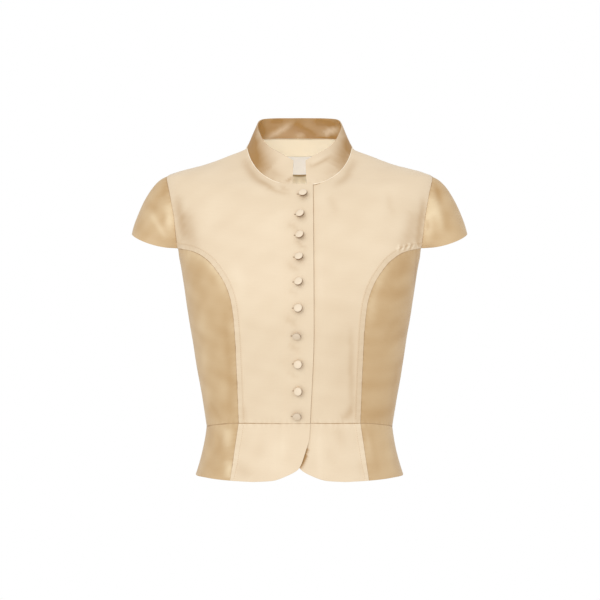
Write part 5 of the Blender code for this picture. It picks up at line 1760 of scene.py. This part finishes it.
    def build_topstitches(self) -> None:
        """Rows of stitches along both welts, 7 mm from the seam."""
        seam = self.bodice.lines["front_princess"]
        row = self.cut.aside(seam, self.topstitch_off)[4:-1]
        low = self.peplum.welt_foot[1:-1]
        for side in Side:
            word = side.name.lower()
            parts = [
                self.sunk(row, side, f"front_{word}", -self.cut.cloth.welt_height - 0.02 * MM),
                self.sunk(low, side, f"peplum_front_{word}", -self.cut.cloth.welt_height - 0.02 * MM, True),
            ]
            paths, normals, radii = [], [], []
            for path, normal in parts:
                count = int(lengths(path)[-1] / self.stitch_pitch)
                share = (np.arange(count) + 0.5) / count
                half = self.stitch_length / 2 / lengths(path)[-1]
                walked = lengths(path) / lengths(path)[-1]
                for middle in share:
                    at = middle + half * np.array([-1.0, -0.7, 0.0, 0.7, 1.0])
                    paths.append(np.column_stack([np.interp(at, walked, path[:, k]) for k in range(3)]))
                    columns = [np.interp(at, walked, normal[:, k]) for k in range(3)]
                    normals.append(unit(np.column_stack(columns)))
                    radii.append(self.stitch_radius * np.array([0.3, 0.85, 1.0, 0.85, 0.3]))
            made = tubes(f"topstitch_{word}", paths, normals, radii, STITCH)

    def build_buttonholes(self) -> None:
        """A worked slit behind each button, seen where it runs out past the button's outer side.

        Its rim is the stadium of the hole's length and width, with a rib each 0.6 mm of thread, coloured
        brown as painted shade of the slit.
        """
        paths, normals, radii = [], [], []
        turn = np.linspace(0, 2 * np.pi, 161)
        for x, height, _, _ in self.buttons.table:
            middle = x * MM - self.hole_length / 2 + 5.2 * MM
            straight = (self.hole_length - self.hole_width) / 2
            run = straight * np.tanh(3 * np.cos(turn)) / np.tanh(3)
            flat_x = middle + run + self.hole_width / 2 * np.cos(turn)
            flat_z = height * MM - 1.8 * MM + self.hole_width / 2 * np.sin(turn)
            ring = self.cut.figure.seen(flat_x, flat_z, Face.FRONT)
            shell = self.bodice.shells["front_right"]
            normal = self.cut.figure.outward(ring)
            lap = shell.lift * self.cut.cloth.lap_share(ring[:, 0])
            path = ring + normal * (lap - shell.relief.sink(ring) + 0.1 * MM)[:, None]
            paths.append(path)
            normals.append(normal)
            radii.append(0.3 * MM * (1 + 0.15 * np.cos(50 * turn)))
        made = tubes("buttonhole_stitches", paths, normals, radii, SLIT)


# The studio


@dataclass(frozen=True)
class Studio:
    """A camera at the photograph's angle, a pale floor, and soft light from the front, a little left."""

    target: tuple[float, float, float] = (0.0007, 0.0, -0.2204)
    distance: float = 3.2
    elevation: float = 4.0
    frame_height: float = 0.87
    floor: float = -1.25
    key_power: float = 22.5
    fill_power: float = 6.0
    neck_power: float = 0.064
    ambient: float = 0.82

    def build(self) -> None:
        """Adds the camera, the lights, the floor and the backdrop's colour."""
        self.add_camera()
        self.add_floor()
        self.add_light("key", (-0.9, -3.0, 0.9), 1.6, self.key_power)
        self.add_light("fill", (1.8, -2.6, 0.0), 1.8, self.fill_power)
        self.add_neck_light()
        self.add_world()
        settings = bpy.context.scene.view_settings
        settings.view_transform = "Standard"
        settings.look = "None"

    def add_camera(self) -> None:
        """Sets the camera so that frame_height metres fill the frame at the target."""
        lens = bpy.data.cameras.new("camera")
        lens.sensor_width = 36.0
        lens.lens = 36.0 * self.distance / self.frame_height
        made = bpy.data.objects.new("camera", lens)
        tilt = math.radians(self.elevation)
        made.location = (
            self.target[0],
            self.target[1] - self.distance * math.cos(tilt),
            self.target[2] + self.distance * math.sin(tilt),
        )
        made.rotation_euler = (math.pi / 2 - tilt, 0.0, 0.0)
        bpy.context.scene.collection.objects.link(made)
        bpy.context.scene.camera = made

    def add_light(self, name: str, place: tuple[float, float, float], size: float, power: float) -> None:
        """A square softbox that faces the jacket."""
        lamp = bpy.data.lights.new(name, "AREA")
        lamp.size = size
        lamp.energy = power
        made = bpy.data.objects.new(name, lamp)
        made.location = place
        aim = np.array(self.target) - np.array(place)
        made.rotation_euler = (math.acos(-aim[2] / np.linalg.norm(aim)), 0.0, math.atan2(-aim[0], aim[1]))
        bpy.context.scene.collection.objects.link(made)

    def add_neck_light(self) -> None:
        """A small soft lamp below the neckline, inside the jacket, that lights the lining and the label."""
        lamp = bpy.data.lights.new("neck", "AREA")
        lamp.size = 0.05
        lamp.energy = self.neck_power
        made = bpy.data.objects.new("neck", lamp)
        made.location = (0.0, -0.022, -0.098)
        made.rotation_euler = (math.radians(122), 0.0, 0.0)
        made.visible_camera = False
        bpy.context.scene.collection.objects.link(made)

    def add_floor(self) -> None:
        """A round pale floor, 2 m in radius."""
        angle = np.linspace(0, 2 * np.pi, 96, endpoint=False)
        points = np.column_stack([2.0 * np.cos(angle), 2.0 * np.sin(angle), np.full(96, self.floor)])
        mesh = bpy.data.meshes.new("floor")
        mesh.from_pydata(points.tolist(), [], [list(range(96))])
        paint = bpy.data.materials.new("matt_studio_floor")
        paint.use_nodes = True
        paint.node_tree.nodes["Principled BSDF"].inputs["Base Color"].default_value = from_hex("F2F1EE")
        paint.node_tree.nodes["Principled BSDF"].inputs["Roughness"].default_value = 0.9
        mesh.materials.append(paint)
        made = bpy.data.objects.new("floor", mesh)
        bpy.context.scene.collection.objects.link(made)

    def add_world(self) -> None:
        """White where the camera sees it, and a dimmer grey as light."""
        world = bpy.data.worlds.new("studio")
        bpy.context.scene.world = world
        world.use_nodes = True
        tree = world.node_tree
        tree.nodes.clear()
        path = add_node(tree, "ShaderNodeLightPath", {})
        dim = add_node(tree, "ShaderNodeBackground", {}, Color=(1, 1, 1, 1), Strength=self.ambient)
        bright = add_node(tree, "ShaderNodeBackground", {}, Color=(1, 1, 1, 1), Strength=1.0)
        mix = add_node(
            tree, "ShaderNodeMixShader", {}, s0=path.outputs["Is Camera Ray"], s1=dim.outputs[0],
            s2=bright.outputs[0],
        )
        add_node(tree, "ShaderNodeOutputWorld", {}, Surface=mix.outputs[0])


def main() -> None:
    """Builds the jacket from the bodice outwards, then the studio."""
    logging.basicConfig(level=logging.INFO, format="%(message)s")
    cut = Cut()
    bodice = Bodice(cut)
    bodice.build()
    peplum = Peplum(Flare(cut), bodice.waists, bodice.shells)
    peplum.build()
    collar = Collar(cut, bodice.lines)
    collar.build()
    sleeves = CapSleeves(cut, bodice.lines)
    sleeves.build()
    NeckLining(cut, bodice.upper_back).build()
    buttons = CoveredButtons(cut)
    buttons.build()
    Sewing(cut, bodice, peplum, collar, sleeves, buttons).build()
    Studio().build()


if __name__ == "__main__":
    main()
